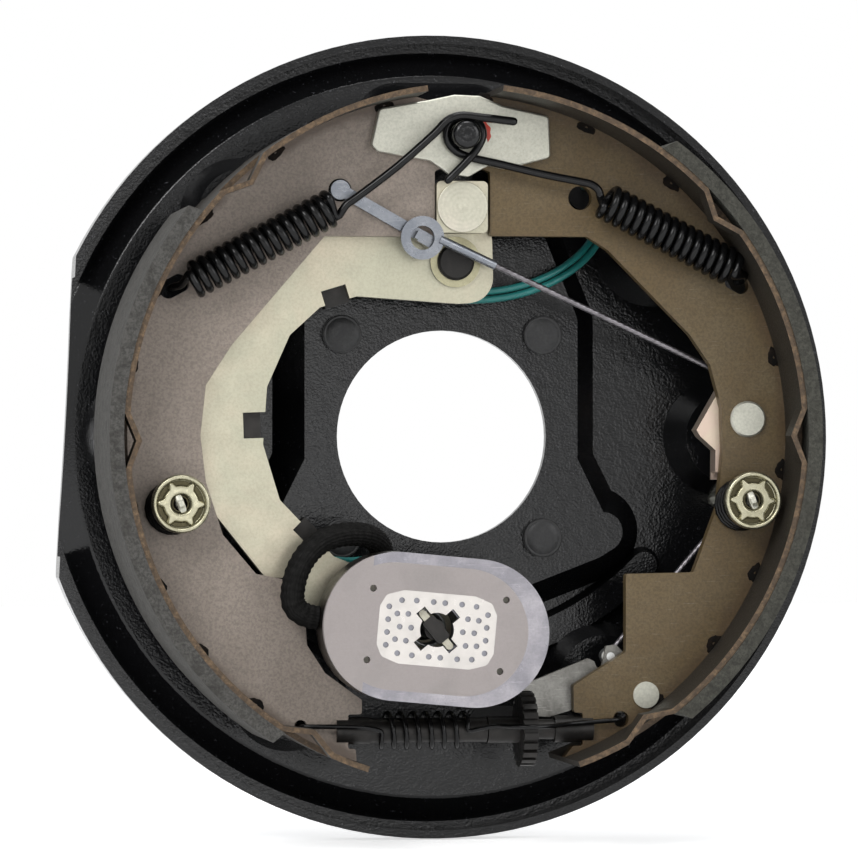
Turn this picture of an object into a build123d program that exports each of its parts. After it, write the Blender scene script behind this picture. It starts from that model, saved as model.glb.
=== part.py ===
from build123d import *
from math import atan2, cos, degrees, hypot, pi, radians, sin, tan
import os

os.makedirs("parts", exist_ok=True)

# Electric drum brake for a trailer wheel, seen with the drum taken off.
# The brake's axis is Y, the drum side faces -Y and the anchor post stands on top, at +Z.
# A level is a distance from the mounting face towards the drum, so the face itself is level 0.

# Backing plate, pressed from one sheet
sheet = 3.5
plate_radius = 143.4
lip_thickness = 2.8
lip_level = -10.5
rim_width = 5.9
ridge_width = 8.5
gutter_drop = 7.5
floor_drop = 18.0
pad_slope = 27.0
flat_depth = 11.6
flat_tilt = 3.0
hub_bore_radius = 37.5
shoe_pad_radius = 16.0
shoe_pad_inset = 38.4
shoe_pad_gap = 0.3
shoe_pad_slope = 30.0
stiffener_width = 13.0
stiffener_height = 5.0
boss_half_width = 16.0
boss_height = 3.0
boss_wall = 2.5
boss_slope = 15.0

# Mounting studs on a square
stud_spacing = 72.0
stud_radius = 4.75
stud_knurl_radius = 5.3
stud_head_radius = 6.9
stud_head_thickness = 2.5
stud_reach = 24.0

# Shoes
lining_radius = 126.0
lining_thickness = 5.0
lining_width = 57.0
table_thickness = 2.0
table_width = 56.4
web_thickness = 4.8
web_level = 33.9
shoe_back_level = 3.3
primary_shift = 2.6
secondary_shift = -1.4
nib_depth = 4.2
nib_half_angle = 4.6
nib_width = 9.0
hold_down_hole = 5.6

# Anchor post and its plate
anchor_x = 1.8
anchor_z = 104.6
anchor_base_radius = 11.0
anchor_shoe_radius = 9.0
anchor_end_radius = 4.3
anchor_end_level = 47.0
anchor_rivet_radius = 5.5
anchor_rivet_head = 7.4
rivet_head_height = 2.4
anchor_plate_thickness = 2.4
shoe_to_anchor_gap = 0.3

# Actuating lever and its pivot
lever_x = 0.6
lever_z = 60.7
lever_level = 28.0
lever_thickness = 5.0
lever_round = 9.0
pivot_radius = 6.4
pivot_flange_radius = 8.6
pivot_rivet_head = 7.0
pivot_head_height = 1.8
pivot_end_level = 31.5
bush_wall = 2.4
running_gap = 0.05
side_gap = 0.3
cam_size = 18.0
cam_corner = 1.7
cam_gap = 0.4
cam_x = 1.9
cam_z = 79.6
cam_level = 36.0
cam_pin_radius = 5.0
cam_head_radius = 8.2

# Magnet
magnet_x = -10.7
magnet_z = -66.7
magnet_tilt = -5.3
magnet_length = 78.5
magnet_height = 51.0
magnet_back_level = 37.0
magnet_face_level = 58.0
magnet_wall = 2.2
facing_depth = 3.0
facing_shift = -2.35
facing_length = 68.5
facing_height = 43.8
facing_edge = -23.9
facing_hole_radius = 1.2
pole_length = 40.8
pole_height = 25.2
pole_slot_length = 17.8
pole_slot_width = 3.8
pole_eye_radius = 5.9
dimple_radius = 1.0
dimple_depth = 0.8
magnet_bore_radius = 8.6
magnet_post_radius = 4.6
magnet_stem_radius = 3.6
post_sink = 1.4
post_block_length = 9.6
post_block_width = 5.0
post_block_height = 2.6
magnet_clip_length = 17.0
magnet_clip_width = 2.6
magnet_clip_thickness = 1.0
magnet_spring_wire = 1.2
magnet_spring_radius = 6.0
magnet_spring_turns = 4

# Springs
spring_radius = 6.5
spring_wire = 2.8
hook_level = 40.8
primary_turns = 16
secondary_turns = 16

# Adjuster
adjuster_z = -102.4
adjuster_fork_radius = 4.7
adjuster_tube_radius = 4.3
adjuster_left = -42.0
adjuster_seat = -37.6
adjuster_fork_end = -30.0
socket_end = 11.0
collar_radius = 4.7
star_x = 22.4
star_width = 5.0
star_radius = 13.0
star_tooth_depth = 1.7
star_teeth = 22
thread_radius = 3.5
stub_radius = 2.8
nut_left = 35.0
nut_right = 48.5
nut_seat = 44.6
fork_slot_gap = 0.3
adjuster_spring_wire = 1.7
adjuster_spring_turns = 7

# Adjusting lever on the secondary shoe
pawl_x = 67.4
pawl_z = -90.6
pawl_thickness = 2.2
pawl_pin_radius = 2.8
pawl_pin_head_radius = 4.6
pawl_to_star_gap = 0.3

# Cable, its link and its guide
cable_radius = 1.0
cable_wrap_radius = 17.6
cable_wrap_x = 112.5
cable_level = 23.0
cable_start_level = 35.6
eyelet_level = 37.9
guide_flange = 2.6
guide_plate = 1.4
rivet_x = 103.9
rivet_z = 6.0
rivet_radius = 3.2
rivet_head_radius = 6.3
rivet_head_thickness = 1.6
eyelet_radius = 7.6
eyelet_hole_radius = 4.2
eyelet_thickness = 1.8
crimp_radius = 1.6
link_thickness = 1.6
link_width = 4.2
link_pad_radius = 3.4

# Hold-downs
hold_down_pin_radius = 2.3
hold_down_cup_radius = 9.4
hold_down_cup_level = 48.0
hold_down_cup_depth = 3.0
hold_down_wire = 1.6
hold_down_turns = 5

# Wiring
lead_radius = 1.25
lead_spacing = 2.8
sleeve_radius = 4.1
grommet_inset = 37.4
grommet_angle = 58.1
grommet_radius = 6.5
coil_radius = 14.0
coil_section = 4.4
coil_gap = 5.0

# Levels and radii that follow from the sizes above
gutter_radius = plate_radius - rim_width
ridge_radius = gutter_radius - ridge_width
flat_distance = plate_radius - flat_depth
shoe_pad_reach = plate_radius - shoe_pad_inset
grommet_x = (plate_radius - grommet_inset) * cos(radians(grommet_angle))
grommet_z = (plate_radius - grommet_inset) * sin(radians(grommet_angle))
pad_level = sheet
floor_level = pad_level - floor_drop
floor_back_level = floor_level - sheet
gutter_level = floor_level - gutter_drop
pad_run = floor_drop * tan(radians(pad_slope))
shoe_pad_level = shoe_back_level - shoe_pad_gap
table_outer = lining_radius - lining_thickness
table_inner = table_outer - table_thickness
web_back_level = web_level - web_thickness
web_middle_level = web_level - web_thickness / 2
lever_back_level = lever_level - lever_thickness
anchor_plate_level = web_level + side_gap


def level(distance):
    """Plane across the brake's axis, its normal towards the drum."""
    return Plane(origin=(0, -distance, 0), x_dir=(1, 0, 0), z_dir=(0, -1, 0))


def place(x, z, distance):
    """Point in space from its place on the brake's face and its level."""
    return Vector(x, -distance, z)


def outline(points, radius):
    """Face inside a closed run of points, with every corner rounded."""
    with BuildSketch() as face:
        with BuildLine():
            FilletPolyline(*points, radius=radius, close=True)
        make_face()
    return face.sketch


def polar(shift, radius, angle):
    """Point at an angle from +X about a centre shifted along X."""
    return (shift + radius * cos(radians(angle)), radius * sin(radians(angle)))


def sector(shift, inner, outer, start, end):
    """Ring sector between two angles about a centre shifted along X."""
    with BuildSketch() as face:
        with BuildLine():
            far = CenterArc((shift, 0), outer, start, end - start)
            near = CenterArc((shift, 0), inner, start, end - start)
            Line(far @ 0, near @ 0)
            Line(far @ 1, near @ 1)
        make_face()
    return face.sketch


def arc_radii(points):
    """Largest smooth radius for each corner of a route, its inner runs shared by two corners."""
    radii = []
    last = len(points) - 2
    for index, (before, corner, after) in enumerate(zip(points, points[1:], points[2:]), 1):
        incoming = corner - before
        outgoing = after - corner
        reach_in = incoming.length * (0.9 if index == 1 else 0.45)
        reach_out = outgoing.length * (0.9 if index == last else 0.45)
        half_turn = radians(incoming.get_angle(outgoing)) / 2
        radii.append(min(reach_in, reach_out) / tan(half_turn))
    return radii


def bend_radii(points, wire):
    """Radius of each bend in a stiff wire, up to three times its thickness."""
    return [min(radius, 3 * wire) for radius in arc_radii(points)]


def tube(points, radii, radius):
    """Round bar swept along straight runs joined by tangent arcs."""
    with BuildPart() as bar:
        with BuildLine() as route:
            if len(points) > 2:
                FilletPolyline(*points, radius=radii)
            else:
                Line(*points)
        with BuildSketch(Plane(origin=route.line @ 0, z_dir=route.line % 0)):
            Circle(radius)
        sweep()
    return bar.part


def cord(name, points, radius):
    """Cord along its route, with its corner radii and length printed."""
    radii = arc_radii(points)
    body = tube(points, radii, radius)
    length = body.volume / (pi * radius**2)
    print(name, "radii", [round(r, 1) for r in radii], "length", round(length, 1))
    return body


def coil(start, end, radius, wire, turns, hook=(), tail=(), phase=0):
    """Helical spring between two points on its axis, with a bent end at either side."""
    axis = end - start
    with BuildLine() as path:
        Helix(pitch=axis.length / turns, height=axis.length, radius=radius, center=start, direction=axis)
    turned_path = path.line.rotate(Axis(start, axis), phase)
    first = turned_path @ 0
    last = turned_path @ 1
    lead_out = turned_path % 1
    lead_in = turned_path % 0
    with BuildPart() as body:
        with BuildLine():
            add(turned_path)
        with BuildSketch(Plane(origin=first, z_dir=lead_in)):
            Circle(wire / 2)
        sweep(is_frenet=True)
        if hook:
            route = [last, last + lead_out * 1.6 * wire, *hook]
            add(tube(route, bend_radii(route, wire), wire / 2))
        if tail:
            route = [first, first - lead_in * 1.6 * wire, *tail]
            add(tube(route, bend_radii(route, wire), wire / 2))
    return body.part


def finish(part, name):
    """Label a piece and write it to its own file."""
    part.label = name
    export_step(part, "parts/" + name + ".step")


# Backing plate
pad_outline = [
    (18, 117.5),
    (49, 42),
    (49, -8),
    (58, -26),
    (73, -33),
    (57, -43),
    (31, -53),
    (0, -58),
    (-31, -53),
    (-57, -43),
    (-73, -33),
    (-58, -26),
    (-49, -8),
    (-49, 42),
    (-18, 117.5),
]
boss_outline = [
    (boss_half_width, 116.5),
    (boss_half_width, 60),
    (boss_half_width - 8, 50),
    (-boss_half_width + 8, 50),
    (-boss_half_width, 60),
    (-boss_half_width, 116.5),
]
shoe_pad_angles = [40.4, 0.0, -56.0, 132.0, 180.0, 240.0]
hold_down_places = [(-97.5, -23.5), (103.0, -22.5)]
plug_x = 25.0
plug_length = 22.0
plug_height = 9.0

with BuildPart() as backing_plate:
    with BuildSketch(Plane.XY) as plate_section:
        bend = sheet * tan(radians(20))
        with BuildLine():
            Polyline(
                (0, -floor_level),
                (ridge_radius, -floor_level),
                (gutter_radius, -gutter_level),
                (plate_radius - lip_thickness, -gutter_level),
                (plate_radius - lip_thickness, -lip_level),
                (plate_radius, -lip_level),
                (plate_radius, -gutter_level + sheet),
                (gutter_radius - bend, -gutter_level + sheet),
                (ridge_radius - bend, -floor_level + sheet),
                (0, -floor_level + sheet),
                close=True,
            )
        make_face()
        ridge_corners = plate_section.vertices().filter_by_position(
            Axis.X, ridge_radius - 2 * bend, gutter_radius + 0.1
        )
        fillet(ridge_corners, sheet * 0.45)
        foot_corner = plate_section.vertices().sort_by_distance((plate_radius, -gutter_level + sheet))[0]
        fillet(foot_corner, sheet * 0.7)
    revolve(axis=Axis.Y)
    with BuildSketch(level(floor_back_level)) as pad_foot:
        add(outline(pad_outline, 7))
        offset(amount=pad_run + sheet * tan(radians(pad_slope)), kind=Kind.ARC)
    extrude(amount=pad_level - floor_back_level, taper=pad_slope)
    with BuildSketch(level(floor_level)) as shoe_pads:
        for angle in shoe_pad_angles:
            with Locations(polar(0, shoe_pad_reach, angle)):
                Circle(shoe_pad_radius + (shoe_pad_level - floor_level) * tan(radians(shoe_pad_slope)) / 2)
    extrude(amount=shoe_pad_level - floor_level, taper=shoe_pad_slope / 2)
    with BuildSketch(level(floor_level)):
        with BuildLine(mode=Mode.PRIVATE) as stiffener_line:
            ThreePointArc((-76, -46), (0, -78), (76, -46))
        SlotArc(stiffener_line.edges()[0], stiffener_width)
    extrude(amount=stiffener_height, taper=20)
    with BuildSketch(level(pad_level)):
        add(outline(boss_outline, 5))
    extrude(amount=boss_height, taper=boss_slope)
    with BuildSketch(level(floor_back_level)):
        add(outline(pad_outline, 7))
        offset(amount=pad_run - sheet * 0.6, kind=Kind.ARC)
    extrude(amount=-floor_back_level, taper=pad_slope, mode=Mode.SUBTRACT)
    with BuildSketch(level(0)):
        add(outline(boss_outline, 5))
        offset(amount=-boss_wall)
    extrude(amount=boss_height, taper=boss_slope, mode=Mode.SUBTRACT)
    with BuildSketch(level(floor_back_level)):
        Circle(hub_bore_radius)
        with GridLocations(stud_spacing, stud_spacing, 2, 2):
            Circle(stud_knurl_radius)
        with Locations((anchor_x, anchor_z)):
            Circle(anchor_rivet_radius)
        with Locations((lever_x, lever_z)):
            Circle(pivot_radius)
        with Locations(*hold_down_places):
            Circle(hold_down_pin_radius + side_gap)
        with Locations((grommet_x, grommet_z)):
            Circle(grommet_radius)
        with Locations((plug_x, adjuster_z)):
            SlotOverall(plug_length, plug_height)
    extrude(amount=pad_level + boss_height - floor_back_level, mode=Mode.SUBTRACT)
    flat_plane = Plane(
        origin=(-flat_distance, 0, 0),
        x_dir=(0, 1, 0),
        z_dir=(-cos(radians(flat_tilt)), 0, sin(radians(flat_tilt))),
    )
    split(bisect_by=flat_plane, keep=Keep.BOTTOM)
finish(backing_plate.part, "backing_plate")

# Mounting studs, pressed in from the drum side
with BuildPart() as mounting_studs:
    with BuildSketch(level(pad_level)):
        with GridLocations(stud_spacing, stud_spacing, 2, 2):
            Circle(stud_head_radius)
    extrude(amount=stud_head_thickness)
    with BuildSketch(level(0)):
        with GridLocations(stud_spacing, stud_spacing, 2, 2):
            Circle(stud_knurl_radius)
    extrude(amount=pad_level)
    with BuildSketch(level(-stud_reach)):
        with GridLocations(stud_spacing, stud_spacing, 2, 2):
            Circle(stud_radius)
    extrude(amount=stud_reach)
    chamfer(mounting_studs.faces().sort_by(Axis.Y)[-4:].edges(), 1.0)
finish(mounting_studs.part, "mounting_studs")

# Anchor post, riveted through the plate
with BuildPart() as anchor_post:
    with BuildSketch(level(boss_height - rivet_head_height)):
        with Locations((anchor_x, anchor_z)):
            Circle(anchor_rivet_head)
    extrude(amount=rivet_head_height)
    with BuildSketch(level(boss_height)):
        with Locations((anchor_x, anchor_z)):
            Circle(anchor_rivet_radius)
    extrude(amount=pad_level)
    with BuildSketch(level(pad_level + boss_height)):
        with Locations((anchor_x, anchor_z)):
            Circle(anchor_base_radius)
    extrude(amount=web_back_level - side_gap - pad_level - boss_height)
    with BuildSketch(level(web_back_level - side_gap)):
        with Locations((anchor_x, anchor_z)):
            Circle(anchor_shoe_radius)
    extrude(amount=anchor_plate_level - web_back_level + side_gap)
    with BuildSketch(level(anchor_plate_level)):
        with Locations((anchor_x, anchor_z)):
            Circle(anchor_end_radius)
    extrude(amount=anchor_end_level - anchor_plate_level)
    chamfer(anchor_post.faces().sort_by(Axis.Y)[0].edges(), 1.2)
finish(anchor_post.part, "anchor_post")

# Anchor plate, held on the post over both webs
anchor_plate_outline = [
    (-30.2, 101),
    (-27.5, 113.5),
    (-9.5, 116.7),
    (-1, 118.6),
    (8, 118.3),
    (16, 115),
    (32.5, 111.5),
    (33, 97),
    (17, 92.8),
    (11, 94),
    (4, 90),
    (-3, 91),
    (-9.5, 95.5),
    (-28, 98.5),
]
with BuildPart() as anchor_plate:
    with BuildSketch(level(anchor_plate_level)):
        add(outline(anchor_plate_outline, 1.8))
        with Locations((anchor_x, anchor_z)):
            Circle(anchor_end_radius, mode=Mode.SUBTRACT)
    extrude(amount=anchor_plate_thickness)
    fillet(anchor_plate.faces().sort_by(Axis.Y)[0].outer_wire().edges(), 0.7)
finish(anchor_plate.part, "anchor_plate")


# Shoes: web, table and lining
primary_slot = (-98.5, 51.5)
secondary_slot = (100.0, 53.5)
adjuster_spring_holes = [(-54.5, -100.6), (58.5, -99.0)]


def shoe_table(shift, start, end, nib_angles):
    """Curved table with a pressed nib at both edges wherever it rides on a pad."""
    with BuildPart() as table:
        with BuildSketch(level(shoe_back_level)):
            add(sector(shift, table_inner, table_outer, start, end))
        extrude(amount=table_width)
        for edge_level in (shoe_back_level, shoe_back_level + table_width - nib_width):
            with BuildSketch(level(edge_level)):
                for angle in nib_angles:
                    low = angle - nib_half_angle
                    high = angle + nib_half_angle
                    add(sector(shift, table_inner - 1, table_outer + 1, low, high))
            extrude(amount=nib_width, mode=Mode.SUBTRACT)
            with BuildSketch(level(edge_level)):
                for angle in nib_angles:
                    low = angle - nib_half_angle
                    high = angle + nib_half_angle
                    with BuildLine():
                        Polyline(
                            polar(shift, table_outer, low),
                            polar(shift, table_outer - nib_depth, angle),
                            polar(shift, table_outer, high),
                            polar(shift, table_inner, high),
                            polar(shift, table_inner - nib_depth, angle),
                            polar(shift, table_inner, low),
                            close=True,
                        )
                    make_face()
            extrude(amount=nib_width)
    return table.part


def shoe_lining(shift, start, end, bevel):
    """Friction lining with bevelled ends."""
    with BuildPart() as lining:
        with BuildSketch(level(shoe_back_level)):
            with BuildLine():
                outer = CenterArc((shift, 0), lining_radius, start + bevel, end - start - 2 * bevel)
                inner = CenterArc((shift, 0), table_outer, start, end - start)
                Line(outer @ 0, inner @ 0)
                Line(outer @ 1, inner @ 1)
            make_face()
        extrude(amount=lining_width)
    return lining.part


primary_table = shoe_table(primary_shift, 98.0, 252.0, [132.0, 181.0, 241.0])
finish(primary_table, "primary_table")
secondary_table = shoe_table(secondary_shift, -70.5, 83.5, [40.4, 0.0, -57.0])
finish(secondary_table, "secondary_table")
primary_lining = shoe_lining(primary_shift, 141.0, 237.0, 0.8)
finish(primary_lining, "primary_lining")
secondary_lining = shoe_lining(secondary_shift, -52.0, 55.0, 1.2)
finish(secondary_lining, "secondary_lining")

primary_top = polar(primary_shift, table_inner, 98.0)
primary_bottom = polar(primary_shift, table_inner, 251.6)
cam_left = cam_x - cam_size / 2 - cam_gap
primary_inner_points = [
    primary_bottom,
    (-35.2, -108.6),
    (adjuster_seat - fork_slot_gap, -108.6),
    (adjuster_seat - fork_slot_gap, -96.6),
    (-33.1, -96.6),
    (-33.1, -91.6),
    (-46.0, -82.2),
    (-52.3, -72.5),
    (-53.2, -58.6),
    (-60.0, -49.8),
    (-70.1, -47.8),
    (-81.6, -34.3),
    (-87.5, -16.0),
    (-89.4, 0.0),
    (-87.5, 17.4),
    (-78.5, 31.3),
    (-46.0, 69.3),
    (cam_left, 69.3),
    (cam_left, 92.0),
    (anchor_x - 5.0, 94.0),
    (anchor_x - 5.0, 115.0),
    primary_top,
]
secondary_top = polar(secondary_shift, table_inner, 83.5)
secondary_bottom = polar(secondary_shift, table_inner, -70.5)
cam_right = cam_x + cam_size / 2 + cam_gap
secondary_inner_points = [
    secondary_top,
    (anchor_x + 5.0, 115.0),
    (anchor_x + 5.0, 94.0),
    (cam_right + 0.8, 92.0),
    (cam_right + 0.8, 69.7),
    (46.5, 69.7),
    (54.0, 65.0),
    (83.3, 35.5),
    (90.5, 25.0),
    (94.6, 10.0),
    (95.1, -5.0),
    (93.0, -25.0),
    (84.5, -47.8),
    (60.3, -48.3),
    (60.3, -75.5),
    (41.6, -87.2),
    (41.8, -96.6),
    (nut_seat + fork_slot_gap, -96.6),
    (nut_seat + fork_slot_gap, -108.2),
    (41.5, -108.2),
    secondary_bottom,
]


def web_face(shift, start, end, points, radius):
    """Web between the table's inner face and a run of points, corners rounded."""
    with BuildSketch() as face:
        with BuildLine():
            CenterArc((shift, 0), table_inner, start, end - start)
            FilletPolyline(*points, radius=radius)
        make_face()
    return face.sketch


with BuildPart() as primary_web:
    with BuildSketch(level(web_back_level)):
        add(web_face(primary_shift, 98.0, 251.6, primary_inner_points, 0.9))
        with Locations((anchor_x, anchor_z)):
            Circle(anchor_shoe_radius + shoe_to_anchor_gap, mode=Mode.SUBTRACT)
        with Locations(hold_down_places[0]):
            Circle(hold_down_hole, mode=Mode.SUBTRACT)
        with Locations((-40.8, 85.2)):
            Circle(4.0, mode=Mode.SUBTRACT)
        with Locations(Location(primary_slot, 28)):
            SlotOverall(11, 6.5, mode=Mode.SUBTRACT)
        with Locations(adjuster_spring_holes[0]):
            Circle(2.2, mode=Mode.SUBTRACT)
    extrude(amount=web_thickness)
finish(primary_web.part, "primary_web")

with BuildPart() as secondary_web:
    with BuildSketch(level(web_back_level)):
        add(web_face(secondary_shift, -70.5, 83.5, secondary_inner_points, 0.9))
        with Locations((anchor_x, anchor_z)):
            Circle(anchor_shoe_radius + shoe_to_anchor_gap, mode=Mode.SUBTRACT)
        with Locations(hold_down_places[1]):
            Circle(hold_down_hole, mode=Mode.SUBTRACT)
        with Locations((44.0, 83.2)):
            Circle(4.2, mode=Mode.SUBTRACT)
        with Locations(Location(secondary_slot, -28)):
            SlotOverall(9, 5.4, mode=Mode.SUBTRACT)
        with Locations((rivet_x, rivet_z)):
            Circle(rivet_radius, mode=Mode.SUBTRACT)
        with Locations((pawl_x, pawl_z)):
            Circle(pawl_pin_radius, mode=Mode.SUBTRACT)
        with Locations(adjuster_spring_holes[1]):
            Circle(2.8, mode=Mode.SUBTRACT)
    extrude(amount=web_thickness)
finish(secondary_web.part, "secondary_web")

# Lever pivot, pressed into the plate's boss
with BuildPart() as lever_pivot:
    with BuildSketch(level(boss_height - pivot_head_height)):
        with Locations((lever_x, lever_z)):
            Circle(pivot_rivet_head)
    extrude(amount=pivot_head_height)
    with BuildSketch(level(boss_height)):
        with Locations((lever_x, lever_z)):
            Circle(pivot_radius)
    extrude(amount=pivot_end_level - boss_height)
    with BuildSketch(level(pad_level + boss_height)):
        with Locations((lever_x, lever_z)):
            Circle(pivot_flange_radius)
    extrude(amount=lever_back_level - side_gap - pad_level - boss_height)
    chamfer(lever_pivot.faces().sort_by(Axis.Y)[0].edges(), 0.8)
finish(lever_pivot.part, "lever_pivot")

# Actuating lever with its notches for the wire clips
clip_places = [(-41.4, 48.4, 107.0), (-70.6, 3.6, 182.0), (-51.0, -33.6, 225.0)]
clip_width = 9.0
clip_depth = 6.4
clip_mouth = 6.0
clip_gap = 0.1
clip_reach = 4.5
clip_sheet = 1.0
clip_sink = 2.4
clip_tongue = 10.2
lever_outline = [
    (14.4, 47.0),
    (13.8, 68.5),
    (11.0, 88.0),
    (-6.8, 88.0),
    (-6.8, 73.0),
    (-47.0, 73.0),
    (-83.0, 33.5),
    (-92.5, 16.0),
    (-94.5, 0.0),
    (-92.0, -14.0),
    (-84.0, -26.8),
    (-66.2, -49.0),
    (-55.0, -49.6),
    (-50.5, -62.0),
    (-40.0, -76.0),
    (-20.0, -85.0),
    (-2.0, -84.0),
    (6.0, -74.0),
    (5.0, -60.0),
    (-6.0, -50.0),
    (-24.0, -49.0),
    (-42.0, -42.0),
    (-61.0, -22.3),
    (-66.9, -3.0),
    (-65.5, 17.0),
    (-57.5, 35.0),
    (-47.0, 44.6),
    (-34.0, 48.6),
    (2.0, 46.2),
]
with BuildPart() as actuating_lever:
    with BuildSketch(level(lever_back_level)):
        add(outline(lever_outline, [lever_round] + [2.4] * (len(lever_outline) - 1)))
        with Locations((lever_x, lever_z)):
            Circle(pivot_radius + running_gap + bush_wall, mode=Mode.SUBTRACT)
        with Locations((cam_x, cam_z)):
            Circle(cam_pin_radius + running_gap, mode=Mode.SUBTRACT)
        with Locations((magnet_x, magnet_z)):
            Circle(magnet_post_radius, mode=Mode.SUBTRACT)
        for x, z, angle in clip_places:
            with Locations(Location((x, z), angle)):
                with Locations((-clip_mouth / 2, 0)):
                    Rectangle(clip_depth + clip_mouth, clip_width, mode=Mode.SUBTRACT)
    extrude(amount=lever_thickness)
finish(actuating_lever.part, "actuating_lever")

# Bush pressed into the lever
with BuildPart() as lever_bush:
    with BuildSketch(level(lever_back_level)):
        with Locations((lever_x, lever_z)):
            Circle(pivot_radius + running_gap + bush_wall)
            Circle(pivot_radius + running_gap, mode=Mode.SUBTRACT)
    extrude(amount=lever_thickness + 1.4)
finish(lever_bush.part, "lever_bush")

# Cam block between the ends of the webs, turning on its pin
with BuildPart() as cam_block:
    with BuildSketch(level(lever_level + side_gap)):
        with Locations((cam_x, cam_z)):
            RectangleRounded(cam_size, cam_size, cam_corner)
    extrude(amount=cam_level - lever_level - side_gap)
    with BuildSketch(level(lever_back_level)):
        with Locations((cam_x, cam_z)):
            Circle(cam_pin_radius)
    extrude(amount=lever_level + side_gap - lever_back_level)
    with BuildSketch(level(cam_level)):
        with Locations((cam_x, cam_z)):
            Circle(cam_head_radius)
    extrude(amount=0.6)
finish(cam_block.part, "cam_block")

# Clips that hold the leads behind the lever
clip_plate = clip_width - 2 * clip_gap
clip_inner = clip_gap - clip_depth / 2
clip_drop = lever_thickness - clip_sink + clip_reach
with BuildPart() as lead_clips:
    for x, z, angle in clip_places:
        clip_plane = Plane(
            origin=place(x, z, lever_level - clip_sink),
            x_dir=(cos(radians(angle)), 0, sin(radians(angle))),
            z_dir=(0, -1, 0),
        )
        with BuildSketch(clip_plane):
            Rectangle(clip_depth - 2 * clip_gap, clip_plate)
        extrude(amount=-clip_sheet)
        with BuildSketch(clip_plane):
            with Locations((clip_inner + clip_sheet / 2, 0)):
                Rectangle(clip_sheet, clip_plate)
        extrude(amount=-(clip_drop + clip_sheet))
        with BuildSketch(clip_plane.offset(-clip_drop)):
            with Locations((clip_inner + clip_tongue / 2, 0)):
                Rectangle(clip_tongue, clip_plate)
        extrude(amount=-clip_sheet)
finish(lead_clips.part, "lead_clips")


# Magnet
def on_magnet(distance):
    """Plane on the magnet, turned with it."""
    tilt = radians(magnet_tilt)
    return Plane(
        origin=place(magnet_x, magnet_z, distance),
        x_dir=(cos(tilt), 0, sin(tilt)),
        z_dir=(0, -1, 0),
    )


def facing_sketch():
    """Facing outline: a stadium, joined by all of the case's end on the left."""
    with BuildSketch() as face:
        SlotOverall(magnet_length, magnet_height)
        with Locations((facing_edge - magnet_length, 0)):
            Rectangle(2 * magnet_length, magnet_height, mode=Mode.INTERSECT)
        with Locations((facing_shift, 0)):
            SlotOverall(facing_length, facing_height)
    return face.sketch


def pole_sketch():
    """Rounded pole outline seen from the drum."""
    half_length = pole_length / 2
    half_height = pole_height / 2
    quarter = [
        (half_length, half_height - 6),
        (half_length - 2, half_height - 2),
        (half_length - 8, half_height),
    ]
    top = quarter + [(-x, y) for x, y in reversed(quarter)]
    return outline(top + [(x, -y) for x, y in reversed(top)], 2.2)


with BuildPart() as magnet_case:
    with BuildSketch(on_magnet(magnet_back_level)):
        SlotOverall(magnet_length, magnet_height)
    extrude(amount=magnet_face_level - magnet_back_level)
    fillet(magnet_case.faces().sort_by(Axis.Y)[-1].edges(), 1.6)
    with BuildSketch(on_magnet(magnet_back_level + magnet_wall)):
        SlotOverall(magnet_length - 2 * magnet_wall, magnet_height - 2 * magnet_wall)
    extrude(amount=magnet_face_level - facing_depth - magnet_back_level - magnet_wall, mode=Mode.SUBTRACT)
    with BuildSketch(on_magnet(magnet_face_level - facing_depth)):
        add(facing_sketch())
    extrude(amount=facing_depth, mode=Mode.SUBTRACT)
    with BuildSketch(on_magnet(magnet_back_level)):
        Circle(magnet_bore_radius)
    extrude(amount=magnet_wall, mode=Mode.SUBTRACT)
finish(magnet_case.part, "magnet_case")


pole_dimples = [
    (17.2, 6.6),
    (17.2, 2.2),
    (14.2, 4.4),
    (10.4, 4.6),
    (13.0, 0),
    (9.0, 0),
    (13.0, 9.1),
    (7.9, 9.4),
    (2.0, 9.4),
]
corner_signs = [(1, 1), (1, -1), (-1, 1), (-1, -1)]
dimple_places = sorted({(across * x, up * z) for x, z in pole_dimples for across, up in corner_signs})
with BuildPart() as magnet_pole:
    with BuildSketch(on_magnet(magnet_back_level + magnet_wall)):
        add(pole_sketch())
        Circle(magnet_bore_radius, mode=Mode.SUBTRACT)
    extrude(amount=magnet_face_level - facing_depth - magnet_back_level - magnet_wall)
    with BuildSketch(on_magnet(magnet_face_level - facing_depth)):
        add(pole_sketch())
        with Locations(Location((0, 0), 45), Location((0, 0), -45)):
            Rectangle(pole_slot_length, pole_slot_width, mode=Mode.SUBTRACT)
        Circle(pole_eye_radius, mode=Mode.SUBTRACT)
    extrude(amount=facing_depth)
    with BuildSketch(on_magnet(magnet_face_level)):
        with Locations(*dimple_places):
            Circle(dimple_radius)
    extrude(amount=-dimple_depth, mode=Mode.SUBTRACT)
finish(magnet_pole.part, "magnet_pole")

with BuildPart() as magnet_coil:
    with BuildSketch(on_magnet(magnet_back_level + magnet_wall)):
        SlotOverall(magnet_length - 2 * magnet_wall - 4, magnet_height - 2 * magnet_wall - 4)
        offset(pole_sketch(), amount=1.0, mode=Mode.SUBTRACT)
    extrude(amount=magnet_face_level - facing_depth - magnet_back_level - magnet_wall)
finish(magnet_coil.part, "magnet_coil")

with BuildPart() as magnet_facing:
    with BuildSketch(on_magnet(magnet_face_level - facing_depth)):
        add(facing_sketch())
        add(pole_sketch(), mode=Mode.SUBTRACT)
        with Locations((23.2, 12.3), (-23.2, 12.3), (23.2, -12.3), (-23.2, -12.3)):
            Circle(facing_hole_radius, mode=Mode.SUBTRACT)
    extrude(amount=facing_depth)
finish(magnet_facing.part, "magnet_facing")

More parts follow.
